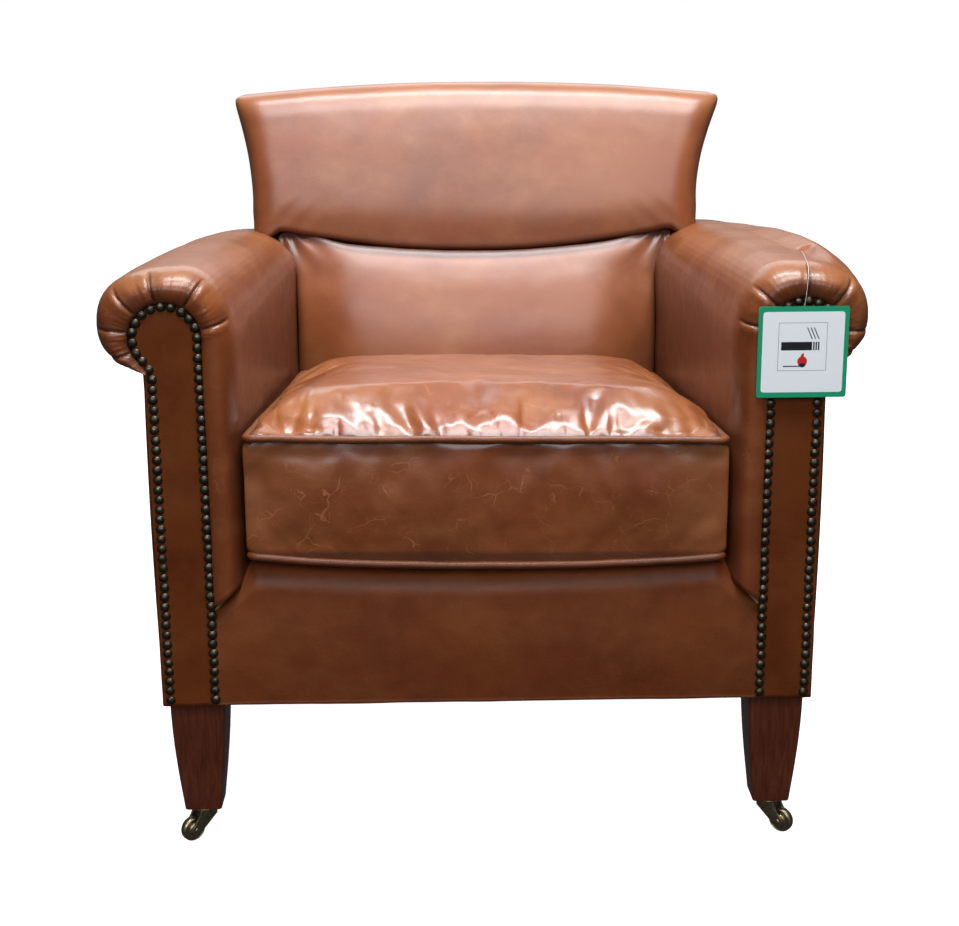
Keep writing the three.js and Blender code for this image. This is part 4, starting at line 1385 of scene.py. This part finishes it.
def inflate(piece):
    # remeshed evenly, filled with air between its two sewn seams, and smoothed a little
    applyModifier(piece, "REMESH", mode="VOXEL", voxel_size=cushion["remesh"])
    start = [v.co.copy() for v in piece.data.vertices]
    pins = piece.vertex_groups.new(name="seams")
    for vertex in piece.data.vertices:
        co = unsettled(vertex.co)
        near = min(abs(co.z - pipingTop), abs(co.z - pipingFoot))
        weight = (1 - smoothStep(4 * mm, 9 * mm, near)) * (1 - smoothStep(7 * mm, 14 * mm, rimAt(co)))
        if weight > 0:
            pins.add([vertex.index], weight, "REPLACE")
        if co.z < pipingFoot - 2 * mm:
            pins.add([vertex.index], 1.0, "REPLACE")
    makeActive(piece)
    bpy.ops.object.modifier_add(type="CLOTH")
    cloth = piece.modifiers[-1]
    for key, value in cushionCloth.items():
        setattr(cloth.settings, key, value)
    cloth.settings.effector_weights.gravity = 0
    cloth.collision_settings.use_collision = False
    cloth.point_cache.frame_end = cushion["frames"]
    scene = bpy.context.scene
    for step in range(1, cushion["frames"] + 1):
        scene.frame_set(step)
    bpy.ops.object.modifier_apply(modifier=cloth.name)
    scene.frame_set(1)
    for vertex, place in zip(piece.data.vertices, start):
        move = vertex.co - place
        move *= min(cushion["cap"] / max(move.length, 1e-9), 1)
        border = 1 - smoothStep(pipingTop - 4 * mm, pipingTop + 4 * mm, unsettled(place).z)
        vertex.co = place + move * (1 - cushion["taut"] * border)
    piece.vertex_groups.clear()
    applyModifier(piece, "SMOOTH", factor=0.5, iterations=2)


def makePiping(name, node, height, seed):
    # a plane with rounded corners, turned into a cord that runs round the seam
    clearSelection()
    bpy.ops.mesh.primitive_plane_add(size=1)
    piece = bpy.context.object
    piece.name = name
    out = 0.6 * mm
    front, rear = cushionLow.y - out + 1.5 * mm, cushionHigh.y + out - 4 * mm

    def corner(co):
        y = front if co.y < 0 else rear
        return Vector((math.copysign(cushionHalfAt(y) + out - 1 * mm, co.x), y, height))

    shape(piece, corner)
    makeActive(piece)
    bpy.ops.object.mode_set(mode="EDIT")
    bpy.ops.mesh.select_all(action="SELECT")
    bpy.ops.mesh.delete(type="ONLY_FACE")
    bpy.ops.mesh.select_all(action="SELECT")
    bpy.ops.mesh.bevel(offset=cushion["corner"] + out, segments=8, affect="VERTICES")
    pick(piece, "EDGE", lambda edge: edge.calc_length() > 0.1)
    bpy.ops.mesh.subdivide(number_cuts=60)
    bpy.ops.object.mode_set(mode="OBJECT")

    def wander(co):
        rise = 1.5 * mm * waves(co, 0.10, seed) + 0.6 * mm * waves(co, 0.03, seed + 1)
        sway = 0.5 * mm * waves(co, 0.05, seed + 2)
        return settled(co) + Vector((sway * sign(co.x), sway * sign(co.y), rise - footSag(co)))

    shape(piece, wander)
    bpy.ops.object.convert(target="CURVE")
    piece = bpy.context.object
    piece.data.bevel_depth = cushion["cord"]
    piece.data.bevel_resolution = 4
    bpy.ops.object.convert(target="MESH")
    piece = bpy.context.object
    faceOutward(piece, (bpy.ops.mesh.remove_doubles, {"threshold": 0.01 * mm}))
    # painted shade: the lower piping is darker all over, and both pipings darken on their undersides
    lowerPipingShade = 0.25 if height < pipingTop else 0

    def wearAt(co, normal):
        return 0.3 * smoothStep(0.2, 0.9, normal.z) + 0.2 * waves(co, 0.04, seed + 3)

    paint(piece, lambda co, n: lowerPipingShade + 0.25 * smoothStep(0.2, -0.8, n.z), wearAt)
    cover(piece, "pipingLeather", node)


makeCushion()
makePiping("pipingTop", "cushion_piping_top", pipingTop, 51)
makePiping("pipingFoot", "cushion_piping_bottom", pipingFoot, 61)
print("cushion made")


# ---- legs and castors ----

for side in sides:
    for end in ("front", "rear"):
        leg = refinedCopy(f"{end}_leg_{side}", f"{end}Leg.{side}", 0.8 * mm)
        dress(leg, mahogany, replaces=[f"{end}_leg_{side}"], smooth=False)
    castor, wheel = f"castor_{side}", f"castor_wheel_{side}"
    for part, body in (("plate", "chair"), ("horn", castor), ("wheel", wheel), ("axle", castor)):
        piece = refinedCopy(f"castor_{part}_{side}", f"castor{part.title()}.{side}", 0.3 * mm)
        dress(piece, castorBrass, body, [f"castor_{part}_{side}"], smooth=False)
print("legs made")


# ---- studio ----

# each light: its place, what it faces, its width and height, and its brightness per square metre
lights = {
    "ceilingFront": ((0.15, -0.95, 2.8), (0.05, -0.1, 0.4), (1.9, 1.0), 40),
    "ceilingMiddle": ((0.1, 0.22, 2.8), (0.05, -0.1, 0.4), (1.8, 0.55), 72),
    "window": ((-0.3, -4.0, 2.3), (0, 0, 0.6), (3.6, 2.0), 12),
    "rearWall": ((-0.1, 3.4, 2.3), (0, 0, 0.6), (3.4, 1.5), 6.5),
}
studio = {
    "daylight": (0.91, 0.955, 1.0),
    "floorSize": 14,
    "paper": ((0.52, 0.52, 0.52, 1), (0.56, 0.56, 0.56, 1)),
    "glow": 0.97,  # the floor's own light, which only the camera sees
    "air": 0.055,  # how bright the surroundings are for everything but the camera
}


def addLight(name, place, target, size, brightness):
    clearSelection()
    bpy.ops.object.light_add(type="AREA", location=place)
    light = bpy.context.object
    light.name = name
    light.data.shape = "RECTANGLE"
    light.data.size, light.data.size_y = size
    light.data.energy = brightness * size[0] * size[1]
    light.data.color = studio["daylight"]
    light.visible_camera = False
    aim = Vector(target) - Vector(place)
    light.rotation_euler = aim.to_track_quat("-Z", "Y").to_euler()


def addStudio():
    clearSelection()
    bpy.ops.mesh.primitive_plane_add(size=studio["floorSize"], location=(0, 2, 0))
    floor = bpy.context.object
    floor.name = "floor"
    paper = Nodes("paper")
    paper.link(paper.blend(paper.noise(0.4, 3), *studio["paper"]), "Base Color")
    paper.setValues(Roughness=0.9, Emission_Color=(1, 1, 1, 1), Emission_Strength=studio["glow"])
    floor.data.materials.append(paper.material)
    floor.visible_glossy = False
    floor.visible_diffuse = False
    world = bpy.data.worlds.new("studio")
    bpy.context.scene.world = world
    world.use_nodes = True
    tree = world.node_tree
    background = tree.nodes["Background"]
    path = tree.nodes.new("ShaderNodeLightPath")
    strength = tree.nodes.new("ShaderNodeMix")
    strength.inputs[2].default_value = studio["air"]
    strength.inputs[3].default_value = 1.0
    tree.links.new(path.outputs["Is Camera Ray"], strength.inputs[0])
    tree.links.new(strength.outputs[0], background.inputs["Strength"])
    background.inputs["Color"].default_value = (1, 1, 1, 1)
    for name, (place, target, size, brightness) in lights.items():
        addLight(name, place, target, size, brightness)
    bpy.context.scene.view_settings.view_transform = "Standard"


addStudio()
print("studio made")
